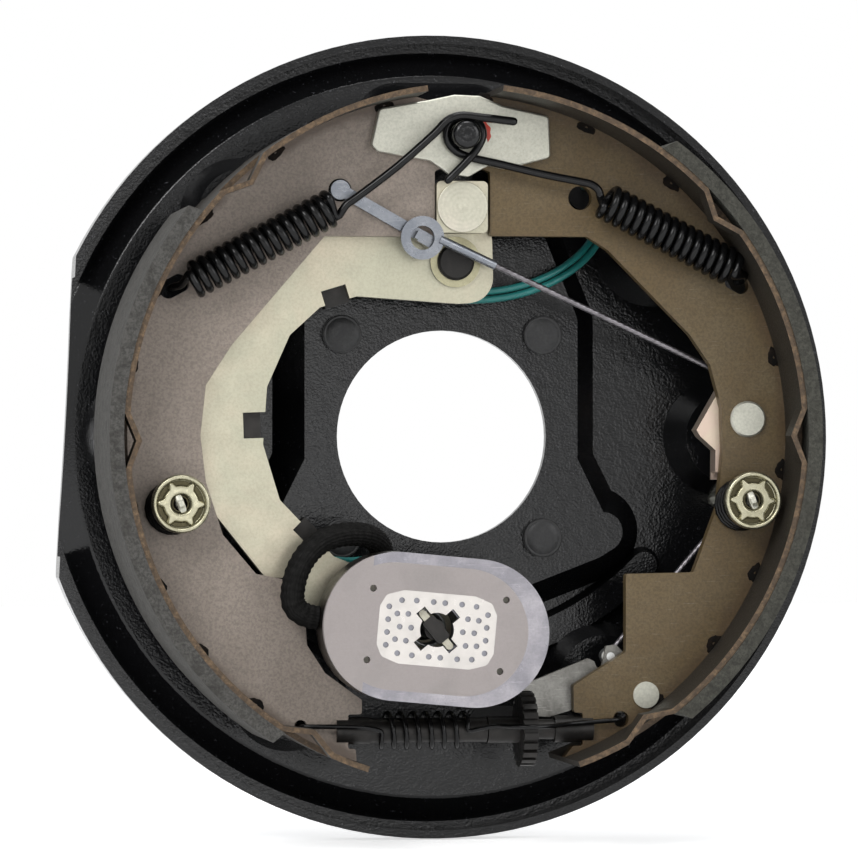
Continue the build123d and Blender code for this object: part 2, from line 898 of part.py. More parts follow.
# Post that carries the magnet on the lever, and its clip
post_end_level = magnet_face_level - post_sink
magnet_clip_level = magnet_face_level - facing_depth + side_gap
with BuildPart() as magnet_post:
    with BuildSketch(level(lever_back_level - 2.0)):
        with Locations((magnet_x, magnet_z)):
            Circle(magnet_post_radius + 2.0)
    extrude(amount=2.0)
    with BuildSketch(level(lever_back_level)):
        with Locations((magnet_x, magnet_z)):
            Circle(magnet_post_radius)
    extrude(amount=lever_thickness)
    with BuildSketch(level(lever_level)):
        with Locations((magnet_x, magnet_z)):
            Circle(magnet_stem_radius)
    extrude(amount=post_end_level - post_block_height - lever_level)
    with BuildSketch(on_magnet(post_end_level - post_block_height)):
        with Locations(Location((0, 0), -45)):
            RectangleRounded(post_block_length, post_block_width, 1.2)
    extrude(amount=post_block_height)
    with BuildSketch(on_magnet(magnet_clip_level)):
        with Locations(Location((0, 0), -45)):
            SlotOverall(magnet_clip_length, magnet_clip_width)
    extrude(amount=magnet_clip_thickness, mode=Mode.SUBTRACT)
finish(magnet_post.part, "magnet_post")

with BuildPart() as magnet_clip:
    with BuildSketch(on_magnet(magnet_clip_level)):
        with Locations(Location((0, 0), -45)):
            SlotOverall(magnet_clip_length, magnet_clip_width)
    extrude(amount=magnet_clip_thickness)
finish(magnet_clip.part, "magnet_clip")

with BuildPart() as magnet_spring:
    add(
        coil(
            place(magnet_x, magnet_z, lever_level + magnet_spring_wire / 2 + 0.1),
            place(magnet_x, magnet_z, magnet_back_level + magnet_wall),
            magnet_spring_radius,
            magnet_spring_wire,
            magnet_spring_turns,
        )
    )
finish(magnet_spring.part, "magnet_spring")

# Return springs: a close coil, a long hook to the anchor post and a short hook into the web
primary_coil_start = place(-90.4, 54.5, hook_level)
primary_coil_end = place(-44.9, 78.7, hook_level)
secondary_coil_start = place(94.2, 59.4, hook_level)
secondary_coil_end = place(52.9, 81.2, hook_level)
wire_radius = spring_wire / 2
loop_radius = anchor_end_radius + wire_radius + 0.15
loop_side = loop_radius + 0.3
loop_level = anchor_plate_level + anchor_plate_thickness + wire_radius + 0.2
crossing_rise = spring_wire + 0.4
primary_wire_level = loop_level + crossing_rise + 1.6

with BuildPart() as primary_return_spring:
    primary_hook = [
        place(-42.8, 79.0, hook_level),
        place(anchor_x - 9.0, anchor_z + loop_radius - 4.4, primary_wire_level),
        place(anchor_x - 1.5, anchor_z + loop_radius + 0.7, primary_wire_level),
        place(anchor_x + 17.0, anchor_z + loop_radius - 0.6, primary_wire_level),
    ]
    primary_tail = [
        place(-96.5, 53.2, hook_level - 1.0),
        place(primary_slot[0], primary_slot[1], web_level - 1.0),
        place(primary_slot[0] + 0.3, primary_slot[1] + 0.2, web_back_level - 1.6),
    ]
    add(
        coil(
            primary_coil_start,
            primary_coil_end,
            spring_radius - wire_radius,
            spring_wire,
            primary_turns,
            primary_hook,
            primary_tail,
        )
    )
finish(primary_return_spring.part, "primary_return_spring")

with BuildPart() as secondary_return_spring:
    secondary_hook = [
        place(48.5, 84.5, hook_level),
        place(anchor_x + 5.0, anchor_z - loop_side - 1.2, loop_level),
        place(anchor_x - loop_side, anchor_z - loop_side, loop_level + 0.4),
        place(anchor_x - loop_side, anchor_z + loop_side, loop_level + 1.2),
        place(anchor_x + loop_side, anchor_z + loop_side, loop_level + 2.0),
        place(anchor_x + loop_side, anchor_z - 1.5, loop_level + 2.6),
        place(anchor_x - 5.5, anchor_z - 15.8, loop_level + crossing_rise),
    ]
    secondary_tail = [
        place(99.0, 56.5, hook_level - 1.0),
        place(secondary_slot[0], secondary_slot[1], web_level - 1.0),
        place(secondary_slot[0] - 0.3, secondary_slot[1] + 0.2, web_back_level - 1.6),
    ]
    add(
        coil(
            secondary_coil_start,
            secondary_coil_end,
            spring_radius - wire_radius,
            spring_wire,
            secondary_turns,
            secondary_hook,
            secondary_tail,
        )
    )
finish(secondary_return_spring.part, "secondary_return_spring")

# Adjuster
with BuildPart() as adjuster_socket:
    with BuildSketch(Plane.YZ.offset(adjuster_left)):
        with Locations((-web_middle_level, adjuster_z)):
            Circle(adjuster_fork_radius)
    extrude(amount=adjuster_fork_end - adjuster_left)
    with BuildSketch(Plane.YZ.offset(adjuster_fork_end)):
        with Locations((-web_middle_level, adjuster_z)):
            Circle(adjuster_tube_radius)
    extrude(amount=socket_end - adjuster_fork_end)
    with BuildSketch(Plane.YZ.offset(adjuster_left)):
        with Locations((-web_middle_level, adjuster_z)):
            Rectangle(web_thickness + 2 * fork_slot_gap, 3 * adjuster_fork_radius)
    extrude(amount=adjuster_seat - adjuster_left, mode=Mode.SUBTRACT)
    with BuildSketch(Plane.YZ.offset(socket_end)):
        with Locations((-web_middle_level, adjuster_z)):
            Circle(stub_radius + running_gap)
    extrude(amount=-17.0, mode=Mode.SUBTRACT)
finish(adjuster_socket.part, "adjuster_socket")

with BuildPart() as star_wheel:
    with BuildSketch(Plane.YZ.offset(star_x)):
        with Locations((-web_middle_level, adjuster_z)):
            Circle(star_radius)
            with PolarLocations(star_radius, star_teeth):
                Rectangle(2 * star_tooth_depth, 1.5, mode=Mode.SUBTRACT)
    extrude(amount=star_width)
    with BuildSketch(Plane.YZ.offset(socket_end + side_gap)):
        with Locations((-web_middle_level, adjuster_z)):
            Circle(collar_radius)
    extrude(amount=star_x - socket_end - side_gap)
    with BuildSketch(Plane.YZ.offset(star_x + star_width)):
        with Locations((-web_middle_level, adjuster_z)):
            Circle(thread_radius)
    extrude(amount=nut_seat - star_x - star_width - 2.6)
    with BuildSketch(Plane.YZ.offset(socket_end + side_gap)):
        with Locations((-web_middle_level, adjuster_z)):
            Circle(stub_radius)
    extrude(amount=-16.0)
finish(star_wheel.part, "star_wheel")

with BuildPart() as adjuster_nut:
    with BuildSketch(Plane.YZ.offset(nut_left)):
        with Locations((-web_middle_level, adjuster_z)):
            Circle(adjuster_fork_radius)
    extrude(amount=nut_right - nut_left)
    with BuildSketch(Plane.YZ.offset(nut_seat)):
        with Locations((-web_middle_level, adjuster_z)):
            Rectangle(web_thickness + 2 * fork_slot_gap, 3 * adjuster_fork_radius)
    extrude(amount=nut_right - nut_seat, mode=Mode.SUBTRACT)
    with BuildSketch(Plane.YZ.offset(nut_left)):
        with Locations((-web_middle_level, adjuster_z)):
            Circle(thread_radius + running_gap)
    extrude(amount=nut_seat - nut_left - 2.0, mode=Mode.SUBTRACT)
finish(adjuster_nut.part, "adjuster_nut")

# Spring along the adjuster, hooked into both webs
adjuster_spring_radius = adjuster_tube_radius + 0.8 + adjuster_spring_wire / 2
adjuster_spring_level = web_middle_level + adjuster_spring_radius
star_front_level = web_middle_level + star_radius + adjuster_spring_wire / 2 + side_gap
with BuildPart() as adjuster_spring:
    spring_z = adjuster_z + 1.6
    adjuster_hook = [
        place(14.0, spring_z, adjuster_spring_level + 1.0),
        place(star_x - 2.0, spring_z, star_front_level),
        place(star_x + star_width + 2.0, spring_z, star_front_level),
        place(41.0, spring_z, web_level + 3.6),
        place(adjuster_spring_holes[1][0] - 1.0, adjuster_spring_holes[1][1] - 0.6, web_level + 2.2),
        place(adjuster_spring_holes[1][0], adjuster_spring_holes[1][1], web_back_level - 2.0),
    ]
    adjuster_tail = [
        place(-34.0, spring_z, adjuster_spring_level),
        place(adjuster_spring_holes[0][0] + 1.0, adjuster_spring_holes[0][1], web_level + 2.4),
        place(adjuster_spring_holes[0][0], adjuster_spring_holes[0][1], web_back_level - 2.0),
    ]
    add(
        coil(
            place(-27.0, adjuster_z, web_middle_level),
            place(4.0, adjuster_z, web_middle_level),
            adjuster_spring_radius,
            adjuster_spring_wire,
            adjuster_spring_turns,
            adjuster_hook,
            adjuster_tail,
            phase=90,
        )
    )
finish(adjuster_spring.part, "adjuster_spring")

# Cable from the link, round its guide and down to the adjusting lever
cable_start = place(13.5, 59.3, cable_start_level)
cable_in_slope = -0.444
cable_out_slope = 1.333
cable_top_corner = place(cable_wrap_x, 59.3 + cable_in_slope * (cable_wrap_x - 13.5), cable_level)
cable_low_corner = place(cable_wrap_x, -1.9, cable_level)
cable_end_x = 57.6
cable_end_z = -1.9 - cable_out_slope * (cable_wrap_x - cable_end_x)
cable_end = place(cable_end_x, cable_end_z, cable_level)
cable_points = [cable_start, cable_top_corner, cable_low_corner, cable_end]
adjuster_cable = tube(cable_points, [cable_wrap_radius, cable_wrap_radius], cable_radius)
print("adjuster_cable length", round(adjuster_cable.volume / (pi * cable_radius**2), 1))
finish(adjuster_cable, "adjuster_cable")

top_turn = radians((cable_top_corner - cable_start).get_angle(cable_low_corner - cable_top_corner))
guide_x = cable_wrap_x - cable_wrap_radius
guide_z = cable_top_corner.Z - cable_wrap_radius * tan(top_turn / 2)
guide_base_radius = cable_wrap_radius - cable_radius
guide_window = [(86.7, 2.2), (102.7, 29.7), (140, 40), (140, -40), (93.2, -40), (93.5, -4.9), (88.1, -0.1)]
with BuildPart() as cable_guide:
    guide_back = cable_level - cable_radius - guide_plate
    with BuildSketch(level(guide_back)):
        with Locations((guide_x, guide_z)):
            Circle(guide_base_radius + guide_flange)
        with BuildLine():
            Polyline(*guide_window, close=True)
        make_face(mode=Mode.INTERSECT)
        with Locations((rivet_x, rivet_z)):
            Circle(rivet_radius, mode=Mode.SUBTRACT)
    extrude(amount=guide_plate)
    with BuildSketch(level(guide_back + guide_plate)):
        with Locations((guide_x, guide_z)):
            Circle(guide_base_radius - 0.08)
        with BuildLine():
            Polyline(*guide_window, close=True)
        make_face(mode=Mode.INTERSECT)
        with Locations((rivet_x, rivet_z)):
            Circle(rivet_radius, mode=Mode.SUBTRACT)
    extrude(amount=web_back_level - guide_back - guide_plate)
finish(cable_guide.part, "cable_guide")

with BuildPart() as guide_rivet:
    with BuildSketch(level(guide_back - 1.2)):
        with Locations((rivet_x, rivet_z)):
            Circle(rivet_head_radius * 0.8)
    extrude(amount=1.2)
    with BuildSketch(level(guide_back)):
        with Locations((rivet_x, rivet_z)):
            Circle(rivet_radius)
    extrude(amount=web_level - guide_back)
    with BuildSketch(level(web_level)):
        with Locations((rivet_x, rivet_z)):
            Circle(rivet_head_radius)
    extrude(amount=rivet_head_thickness)
    chamfer(guide_rivet.faces().sort_by(Axis.Y)[0].edges(), 0.6)
finish(guide_rivet.part, "guide_rivet")

# Eyelet and crimp on the cable's upper end
eyelet_x = -12.5
eyelet_z = 68.6
crimp_axis = (cable_start - cable_top_corner).normalized()
crimp_length = 22.0
with BuildPart() as cable_eyelet:
    with BuildSketch(level(eyelet_level - eyelet_thickness / 2)):
        with Locations((eyelet_x, eyelet_z)):
            Circle(eyelet_radius)
            Circle(eyelet_hole_radius, mode=Mode.SUBTRACT)
    extrude(amount=eyelet_thickness)
    with BuildSketch(Plane(origin=cable_start, z_dir=crimp_axis)):
        Circle(crimp_radius)
    extrude(amount=crimp_length)
finish(cable_eyelet.part, "cable_eyelet")

# Link from the primary web to the eyelet
link_angle = degrees(atan2(85.2 - 66.0, -40.8 + 6.5))
with BuildPart() as cable_link:
    with BuildSketch(level(web_level)):
        with Locations(Location(((-40.8 - 6.5) / 2, (85.2 + 66.0) / 2), link_angle)):
            SlotOverall(hypot(34.3, 19.2) + link_width * 0.6, link_width)
        with Locations((-40.8, 85.2)):
            Circle(link_pad_radius)
    extrude(amount=link_thickness)
    with BuildSketch(level(web_back_level)):
        with Locations((-40.8, 85.2)):
            Circle(3.0)
    extrude(amount=web_thickness)
    with BuildSketch(level(web_level + link_thickness)):
        with Locations(Location((eyelet_x - 1.6, eyelet_z + 0.9), link_angle)):
            Rectangle(link_thickness, link_width * 0.7)
    extrude(amount=eyelet_level + eyelet_thickness - web_level - link_thickness)
finish(cable_link.part, "cable_link")

# Ferrule that hangs the cable on the adjusting lever
ferrule_radius = 2.8
ferrule_axis = (cable_end - cable_low_corner).normalized()
ferrule_x = cable_end.X + ferrule_axis.X * ferrule_radius
ferrule_z = cable_end.Z + ferrule_axis.Z * ferrule_radius
pawl_back_level = web_back_level - side_gap - pawl_thickness
with BuildPart() as cable_ferrule:
    with BuildSketch(level(cable_level - cable_radius - 0.6)):
        with Locations((ferrule_x, ferrule_z)):
            Circle(ferrule_radius)
    extrude(amount=pawl_back_level - cable_level + cable_radius + 0.6)
    with BuildSketch(level(pawl_back_level)):
        with Locations((ferrule_x, ferrule_z)):
            Circle(1.5)
    extrude(amount=pawl_thickness)
finish(cable_ferrule.part, "cable_ferrule")

# Adjusting lever
pawl_tip_z = adjuster_z + star_radius + pawl_to_star_gap
pawl_outline = [
    (star_x + 1.6, pawl_tip_z),
    (star_x + star_width + 0.5, pawl_tip_z),
    (28.6, -97.9),
    (34.0, -98.3),
    (43.0, -95.6),
    (58.0, -97.0),
    (pawl_x - 2.0, -97.0),
    (pawl_x + 6.0, -90.0),
    (pawl_x + 3.0, -83.0),
    (60.2, -75.6),
    (57.8, -73.2),
    (54.2, -73.6),
    (52.6, -81.5),
    (50.8, -80.9),
    (50.0, -78.9),
    (47.9, -77.9),
    (star_x + 1.8, -87.2),
]
with BuildPart() as adjusting_lever:
    with BuildSketch(level(pawl_back_level)):
        add(outline(pawl_outline, 0.7))
        with Locations((pawl_x, pawl_z)):
            Circle(pawl_pin_radius + running_gap, mode=Mode.SUBTRACT)
        with Locations((ferrule_x, ferrule_z)):
            Circle(1.5, mode=Mode.SUBTRACT)
    extrude(amount=pawl_thickness)
finish(adjusting_lever.part, "adjusting_lever")

with BuildPart() as adjusting_lever_pin:
    with BuildSketch(level(web_back_level - pawl_thickness - 2 * side_gap - 1.6)):
        with Locations((pawl_x, pawl_z)):
            Circle(pawl_pin_radius + 1.4)
    extrude(amount=1.6)
    with BuildSketch(level(web_back_level - pawl_thickness - 2 * side_gap)):
        with Locations((pawl_x, pawl_z)):
            Circle(pawl_pin_radius)
    extrude(amount=web_thickness + pawl_thickness + 2 * side_gap)
    with BuildSketch(level(web_level)):
        with Locations((pawl_x, pawl_z)):
            Circle(pawl_pin_head_radius)
    extrude(amount=0.8)
finish(adjusting_lever_pin.part, "adjusting_lever_pin")

# Hold-downs: pins, springs and cups
with BuildPart() as hold_down_pins:
    with BuildSketch(level(floor_back_level - 1.5)):
        with Locations(*hold_down_places):
            Circle(hold_down_pin_radius + 3.2)
    extrude(amount=1.5)
    with BuildSketch(level(floor_back_level)):
        with Locations(*hold_down_places):
            Circle(hold_down_pin_radius)
    extrude(amount=hold_down_cup_level - floor_back_level)
    with BuildSketch(level(hold_down_cup_level)):
        with Locations(*hold_down_places):
            SlotOverall(8.0, 2.6)
    extrude(amount=2.0)
finish(hold_down_pins.part, "hold_down_pins")

with BuildPart() as hold_down_cups:
    with BuildSketch(level(hold_down_cup_level - hold_down_cup_depth)):
        with Locations(*hold_down_places):
            Circle(hold_down_cup_radius)
    extrude(amount=hold_down_cup_depth)
    with BuildSketch(level(hold_down_cup_level - hold_down_cup_depth)):
        with Locations(*hold_down_places):
            Circle(hold_down_pin_radius)
    extrude(amount=hold_down_cup_depth, mode=Mode.SUBTRACT)
    with BuildSketch(level(hold_down_cup_level - hold_down_cup_depth + 1.2)):
        with Locations(*hold_down_places):
            Circle(hold_down_cup_radius - 1.0)
            Circle(4.4, mode=Mode.SUBTRACT)
    extrude(amount=hold_down_cup_depth, mode=Mode.SUBTRACT)
finish(hold_down_cups.part, "hold_down_cups")

with BuildPart() as hold_down_springs:
    for x, z in hold_down_places:
        add(
            coil(
                place(x, z, web_level + side_gap + hold_down_wire / 2),
                place(x, z, hold_down_cup_level - hold_down_cup_depth - hold_down_wire / 2),
                7.2,
                hold_down_wire,
                hold_down_turns,
            )
        )
finish(hold_down_springs.part, "hold_down_springs")

# Plug of the adjusting slot and grommet of the leads
with BuildPart() as slot_plug:
    with BuildSketch(level(floor_back_level)):
        with Locations((plug_x, adjuster_z)):
            SlotOverall(plug_length, plug_height)
    extrude(amount=sheet)
    for flange_level, thickness in ((floor_level, 1.2), (floor_back_level - 2.0, 2.0)):
        with BuildSketch(level(flange_level)):
            with Locations((plug_x, adjuster_z)):
                SlotOverall(plug_length + 3, plug_height + 3)
        extrude(amount=thickness)
finish(slot_plug.part, "slot_plug")

lead_offsets = (lead_spacing / 2, -lead_spacing / 2)
with BuildPart() as lead_grommet:
    with BuildSketch(level(floor_back_level)):
        with Locations((grommet_x, grommet_z)):
            Circle(grommet_radius)
    extrude(amount=sheet)
    for flange_level, thickness in ((floor_level, 1.4), (floor_back_level - 2.0, 2.0)):
        with BuildSketch(level(flange_level)):
            with Locations((grommet_x, grommet_z)):
                Circle(grommet_radius + 2)
        extrude(amount=thickness)
    with BuildSketch(level(floor_back_level - 2.0)):
        for side in lead_offsets:
            with Locations((grommet_x + side, grommet_z)):
                Circle(lead_radius)
    extrude(amount=sheet + 3.4, mode=Mode.SUBTRACT)
finish(lead_grommet.part, "lead_grommet")

# Braided sleeve from the magnet, over the lever and down behind it
sleeve_exit = 174.0
magnet_end = on_magnet(0).from_local_coords(Vector(-(magnet_length - magnet_height) / 2, 0, 0))
exit_way = Vector(*polar(0, 1, sleeve_exit))
exit_x = magnet_end.X + magnet_height / 2 * exit_way.X
exit_z = magnet_end.Z + magnet_height / 2 * exit_way.Y
sleeve_level = 43.6
sleeve_run = 9.4
sleeve_points = [
    place(exit_x, exit_z, sleeve_level),
    place(exit_x + sleeve_run * exit_way.X, exit_z + sleeve_run * exit_way.Y, sleeve_level),
    place(-58.2, -47.8, 43.4),
    place(-51.0, -37.2, 42.6),
    place(-40.5, -33.6, 40.0),
    place(-29.5, -34.6, 34.5),
    place(-24.2, -40.0, 25.0),
    place(-23.8, -43.5, 16.7),
]
braided_sleeve = cord("braided_sleeve", sleeve_points, sleeve_radius)
finish(braided_sleeve, "braided_sleeve")

# Leads behind the lever, out through the plate and into a small coil behind it
coil_level = floor_back_level - coil_gap - 9.0
lead_route = [
    (-23.7, -43.8, 15.0),
    (-26.5, -44.6, 9.5),
    (-36.0, -45.4, 12.5),
    (-46.5, -43.5, 19.6),
    (-60.5, -31.5, 20.6),
    (-70.0, -17.5, 20.6),
    (-73.2, -2.0, 20.6),
    (-72.4, 13.0, 20.6),
    (-66.0, 29.0, 20.6),
    (-55.0, 43.0, 20.6),
    (-42.5, 54.4, 20.6),
    (-24.0, 54.2, 20.6),
    (-7.0, 49.4, 20.0),
    (10.0, 48.9, 18.0),
    (26.0, 51.0, 15.5),
    (41.0, 57.0, 12.5),
    (52.5, 66.0, 9.5),
    (58.5, 77.0, 6.0),
    (56.6, 87.5, 0.5),
    (grommet_x, grommet_z, -8.0),
    (grommet_x, grommet_z, floor_back_level - 7.5),
    (grommet_x, grommet_z - 6.0, coil_level),
    (grommet_x, grommet_z - 14.0, coil_level),
]


def lead_points(route, distance):
    """Route moved sideways across the brake's face, so that two leads lie side by side."""
    points = []
    side = (0.0, -1.0)
    for index, (x, z, height) in enumerate(route):
        before = route[max(index - 1, 0)]
        after = route[min(index + 1, len(route) - 1)]
        run = (after[0] - before[0], after[1] - before[1])
        length = hypot(*run)
        if index > 1 and height > 7.0:
            side = (-run[1] / length, run[0] / length)
        if index > 1 and height < 7.0:
            side = (-1.0, 0.0)
        points.append(place(x + side[0] * distance, z + side[1] * distance, height))
    return points


for number, distance in enumerate(lead_offsets, 1):
    lead = cord("magnet_lead_" + str(number), lead_points(lead_route, distance), lead_radius)
    finish(lead, "magnet_lead_" + str(number))

with BuildPart() as lead_coil:
    with BuildLine(level(coil_level)) as coil_path:
        CenterArc((grommet_x + coil_radius, lead_route[-1][1]), coil_radius, 180, 300)
    with BuildSketch(Plane(origin=coil_path.line @ 0, z_dir=coil_path.line % 0)):
        Circle(coil_section)
    sweep()
finish(lead_coil.part, "lead_coil")
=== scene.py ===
"""Dressed model of an electric drum brake for a trailer wheel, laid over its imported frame.

The brake's axis is Y, the drum side faces -Y and the anchor post stands on top, at +Z.
A level is a distance in millimetres from the mounting face towards the drum.
"""

import logging
from dataclasses import dataclass
from enum import Enum
from typing import ClassVar

import bmesh
import bpy
import numpy as np
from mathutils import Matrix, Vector


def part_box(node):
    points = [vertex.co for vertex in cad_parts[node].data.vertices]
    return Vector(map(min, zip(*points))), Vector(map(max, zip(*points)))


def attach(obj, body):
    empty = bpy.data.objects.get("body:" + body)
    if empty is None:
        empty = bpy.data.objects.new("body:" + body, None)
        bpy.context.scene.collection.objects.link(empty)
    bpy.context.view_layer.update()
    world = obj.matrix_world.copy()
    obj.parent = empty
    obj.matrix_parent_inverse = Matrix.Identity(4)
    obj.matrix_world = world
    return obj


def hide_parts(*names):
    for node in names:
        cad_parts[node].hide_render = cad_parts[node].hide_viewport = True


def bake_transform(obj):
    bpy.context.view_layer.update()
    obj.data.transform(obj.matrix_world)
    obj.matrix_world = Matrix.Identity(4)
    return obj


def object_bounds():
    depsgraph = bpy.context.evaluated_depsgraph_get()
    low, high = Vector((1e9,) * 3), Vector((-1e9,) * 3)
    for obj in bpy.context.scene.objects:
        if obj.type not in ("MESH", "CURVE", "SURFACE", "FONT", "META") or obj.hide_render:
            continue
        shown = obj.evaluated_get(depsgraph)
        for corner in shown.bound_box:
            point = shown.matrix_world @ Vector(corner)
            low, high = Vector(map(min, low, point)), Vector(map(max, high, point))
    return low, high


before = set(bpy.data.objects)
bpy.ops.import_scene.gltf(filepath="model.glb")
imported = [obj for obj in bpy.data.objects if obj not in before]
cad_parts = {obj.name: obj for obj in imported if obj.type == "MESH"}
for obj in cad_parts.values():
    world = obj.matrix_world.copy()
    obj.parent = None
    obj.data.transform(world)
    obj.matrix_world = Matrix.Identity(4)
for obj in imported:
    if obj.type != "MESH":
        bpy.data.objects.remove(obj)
CAD_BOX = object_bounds()

logging.basicConfig(level=logging.INFO, format="%(name)s: %(message)s")
LOG = logging.getLogger("brake")
MM = 0.001

Array = np.ndarray
Colour = tuple[float, float, float]
Spot = tuple[float, float, float]
Socket = bpy.types.NodeSocket
Piece = bpy.types.Object


def place(x: float, z: float, level: float) -> Array:
    """Return the point in metres for a place on the brake's face and its level, in millimetres."""
    return np.array([x, -level, z], float) * MM


def places(spots: list[Spot]) -> Array:
    """Return an array of points in metres for several places (x, z, level) in millimetres."""
    return np.array([place(*spot) for spot in spots])


def smooth_step(share: Array) -> Array:
    """Return 3 s^2 - 2 s^3 for a share s held between 0 and 1."""
    share = np.clip(share, 0, 1)
    return share**2 * (3 - 2 * share)


def rounded_box(angle: Array, half_width: float, half_height: float, power: float) -> Array:
    """Return the plan (a sign(c) |c|^p, b sign(s) |s|^p), where c and s are the angle's cosine and sine.

    Args:
        angle: angles around the plan.
        half_width: half its width, a.
        half_height: half its height, b.
        power: the exponent p; the smaller, the squarer.

    Returns:
        (n, 2) points of the plan.
    """
    c, s = np.cos(angle), np.sin(angle)
    across = half_width * np.sign(c) * np.abs(c) ** power
    up = half_height * np.sign(s) * np.abs(s) ** power
    return np.stack([across, up], -1)


# Surfaces


class Surface:
    """Builds meshes from parametric grids."""

    @staticmethod
    def mesh(name: str, points: Array, faces: list[list[int]], smooth: bool = True) -> Piece:
        """Put points and faces into a new object at the origin.

        Args:
            name: the object's name.
            points: (n, 3) corner points in metres.
            faces: the corners of each face.
            smooth: whether the faces are shaded smooth.

        Returns:
            The new object, linked to the scene.
        """
        data = bpy.data.meshes.new(name)
        data.from_pydata(points.tolist(), [], faces)
        data.polygons.foreach_set("use_smooth", np.full(len(data.polygons), smooth))
        data.update()
        piece = bpy.data.objects.new(name, data)
        bpy.context.scene.collection.objects.link(piece)
        return piece

    @staticmethod
    def grid_faces(rows: int, columns: int, wrap: bool = True) -> list[list[int]]:
        """Return the four-cornered faces of a grid whose point (r, c) has index r * columns + c.

        Args:
            rows: points along the first parameter.
            columns: points along the second parameter.
            wrap: whether the last column meets the first.

        Returns:
            The corners of each face.
        """
        r = np.arange(rows - 1)[:, None]
        c = np.arange(columns if wrap else columns - 1)[None, :]
        next_c = (c + 1) % columns
        corners = [r * columns + c, r * columns + next_c, (r + 1) * columns + next_c, (r + 1) * columns + c]
        return np.stack([np.broadcast_to(k, (r.size, c.size)) for k in corners], -1).reshape(-1, 4).tolist()

    @classmethod
    def sheet(cls, name: str, x: Array, z: Array, level: Array, wrap: bool = True) -> Piece:
        """Make the surface through a grid of places and levels in millimetres.

        Args:
            name: the object's name.
            x: places to the right, a grid or what spreads to one.
            z: places up, likewise.
            level: levels, likewise.
            wrap: whether the last column meets the first.

        Returns:
            The sheet.
        """
        grid = np.stack(np.broadcast_arrays(x, -level, z), -1)
        return cls.mesh(name, grid.reshape(-1, 3) * MM, cls.grid_faces(*grid.shape[:2], wrap))

    @staticmethod
    def curve(points: Array, per_run: int) -> Array:
        """Return a smooth line through the points.

        Between P1 and P2 the line is the Catmull-Rom cubic
        P(t) = P1 + (P2 - P0) t / 2 + (P0 - 2.5 P1 + 2 P2 - P3 / 2) t^2 + (-P0 + 3 P1 - 3 P2 + P3) t^3 / 2.

        Args:
            points: (n, 3) points that the line goes through.
            per_run: points put on each run.

        Returns:
            (m, 3) points, from the first one given to the last.
        """
        padded = np.vstack([2 * points[0] - points[1], points, 2 * points[-1] - points[-2]])
        p0, p1, p2, p3 = (padded[i : len(padded) - 3 + i, None, :] for i in range(4))
        t = np.linspace(0, 1, per_run, endpoint=False)[None, :, None]
        square = p0 - 2.5 * p1 + 2 * p2 - p3 / 2
        cube = -p0 + 3 * p1 - 3 * p2 + p3
        line = p1 + (p2 - p0) * t / 2 + square * t**2 + cube * t**3 / 2
        return np.vstack([line.reshape(-1, 3), points[-1:]])

    @staticmethod
    def spline(points: Array, resolution: int = 10) -> Array:
        """Return the line of the NURBS spline of order 3 that has the points as its control points.

        Args:
            points: (n, 3) control points in metres.
            resolution: points put between two control points.

        Returns:
            (m, 3) points in metres, from the first control point to the last.
        """
        data = bpy.data.curves.new("route", "CURVE")
        data.dimensions = "3D"
        data.resolution_u = resolution
        run = data.splines.new("NURBS")
        run.points.add(len(points) - 1)
        run.points.foreach_set("co", np.hstack([points, np.ones((len(points), 1))]).ravel())
        run.order_u = 3
        run.use_endpoint_u = True
        holder = bpy.data.objects.new("route", data)
        bpy.context.scene.collection.objects.link(holder)
        bpy.context.view_layer.update()
        mesh = bpy.data.meshes.new_from_object(holder)
        line = np.empty(len(mesh.vertices) * 3)
        mesh.vertices.foreach_get("co", line)
        bpy.data.objects.remove(holder)
        bpy.data.curves.remove(data)
        bpy.data.meshes.remove(mesh)
        return line.reshape(-1, 3)

    @staticmethod
    def even(line: Array, step: float) -> Array:
        """Return the line with its points spread evenly, a step apart, along its length.

        Args:
            line: (n, 3) points.
            step: the distance between two new points.

        Returns:
            (m, 3) points.
        """
        along = np.concatenate([[0.0], np.cumsum(np.linalg.norm(np.diff(line, axis=0), axis=1))])
        stops = np.linspace(0, along[-1], int(along[-1] / step) + 1)
        return np.stack([np.interp(stops, along, line[:, axis]) for axis in range(3)], -1)

    @staticmethod
    def frames(line: Array) -> tuple[Array, Array, Array]:
        """Return the tangents and two side directions carried along a line without twist.

        Each side direction is the one before it, less its part along the new tangent.

        Args:
            line: (n, 3) points.

        Returns:
            Three arrays of n unit vectors.
        """
        tangents = np.gradient(line, axis=0)
        tangents /= np.linalg.norm(tangents, axis=1, keepdims=True)
        side = np.cross(tangents[0], np.array([0.3, 0.5, 0.8]))
        sides = np.empty_like(line)
        for index, tangent in enumerate(tangents):
            side = side - tangent * (side @ tangent)
            side = side / np.linalg.norm(side)
            sides[index] = side
        return tangents, sides, np.cross(tangents, sides)

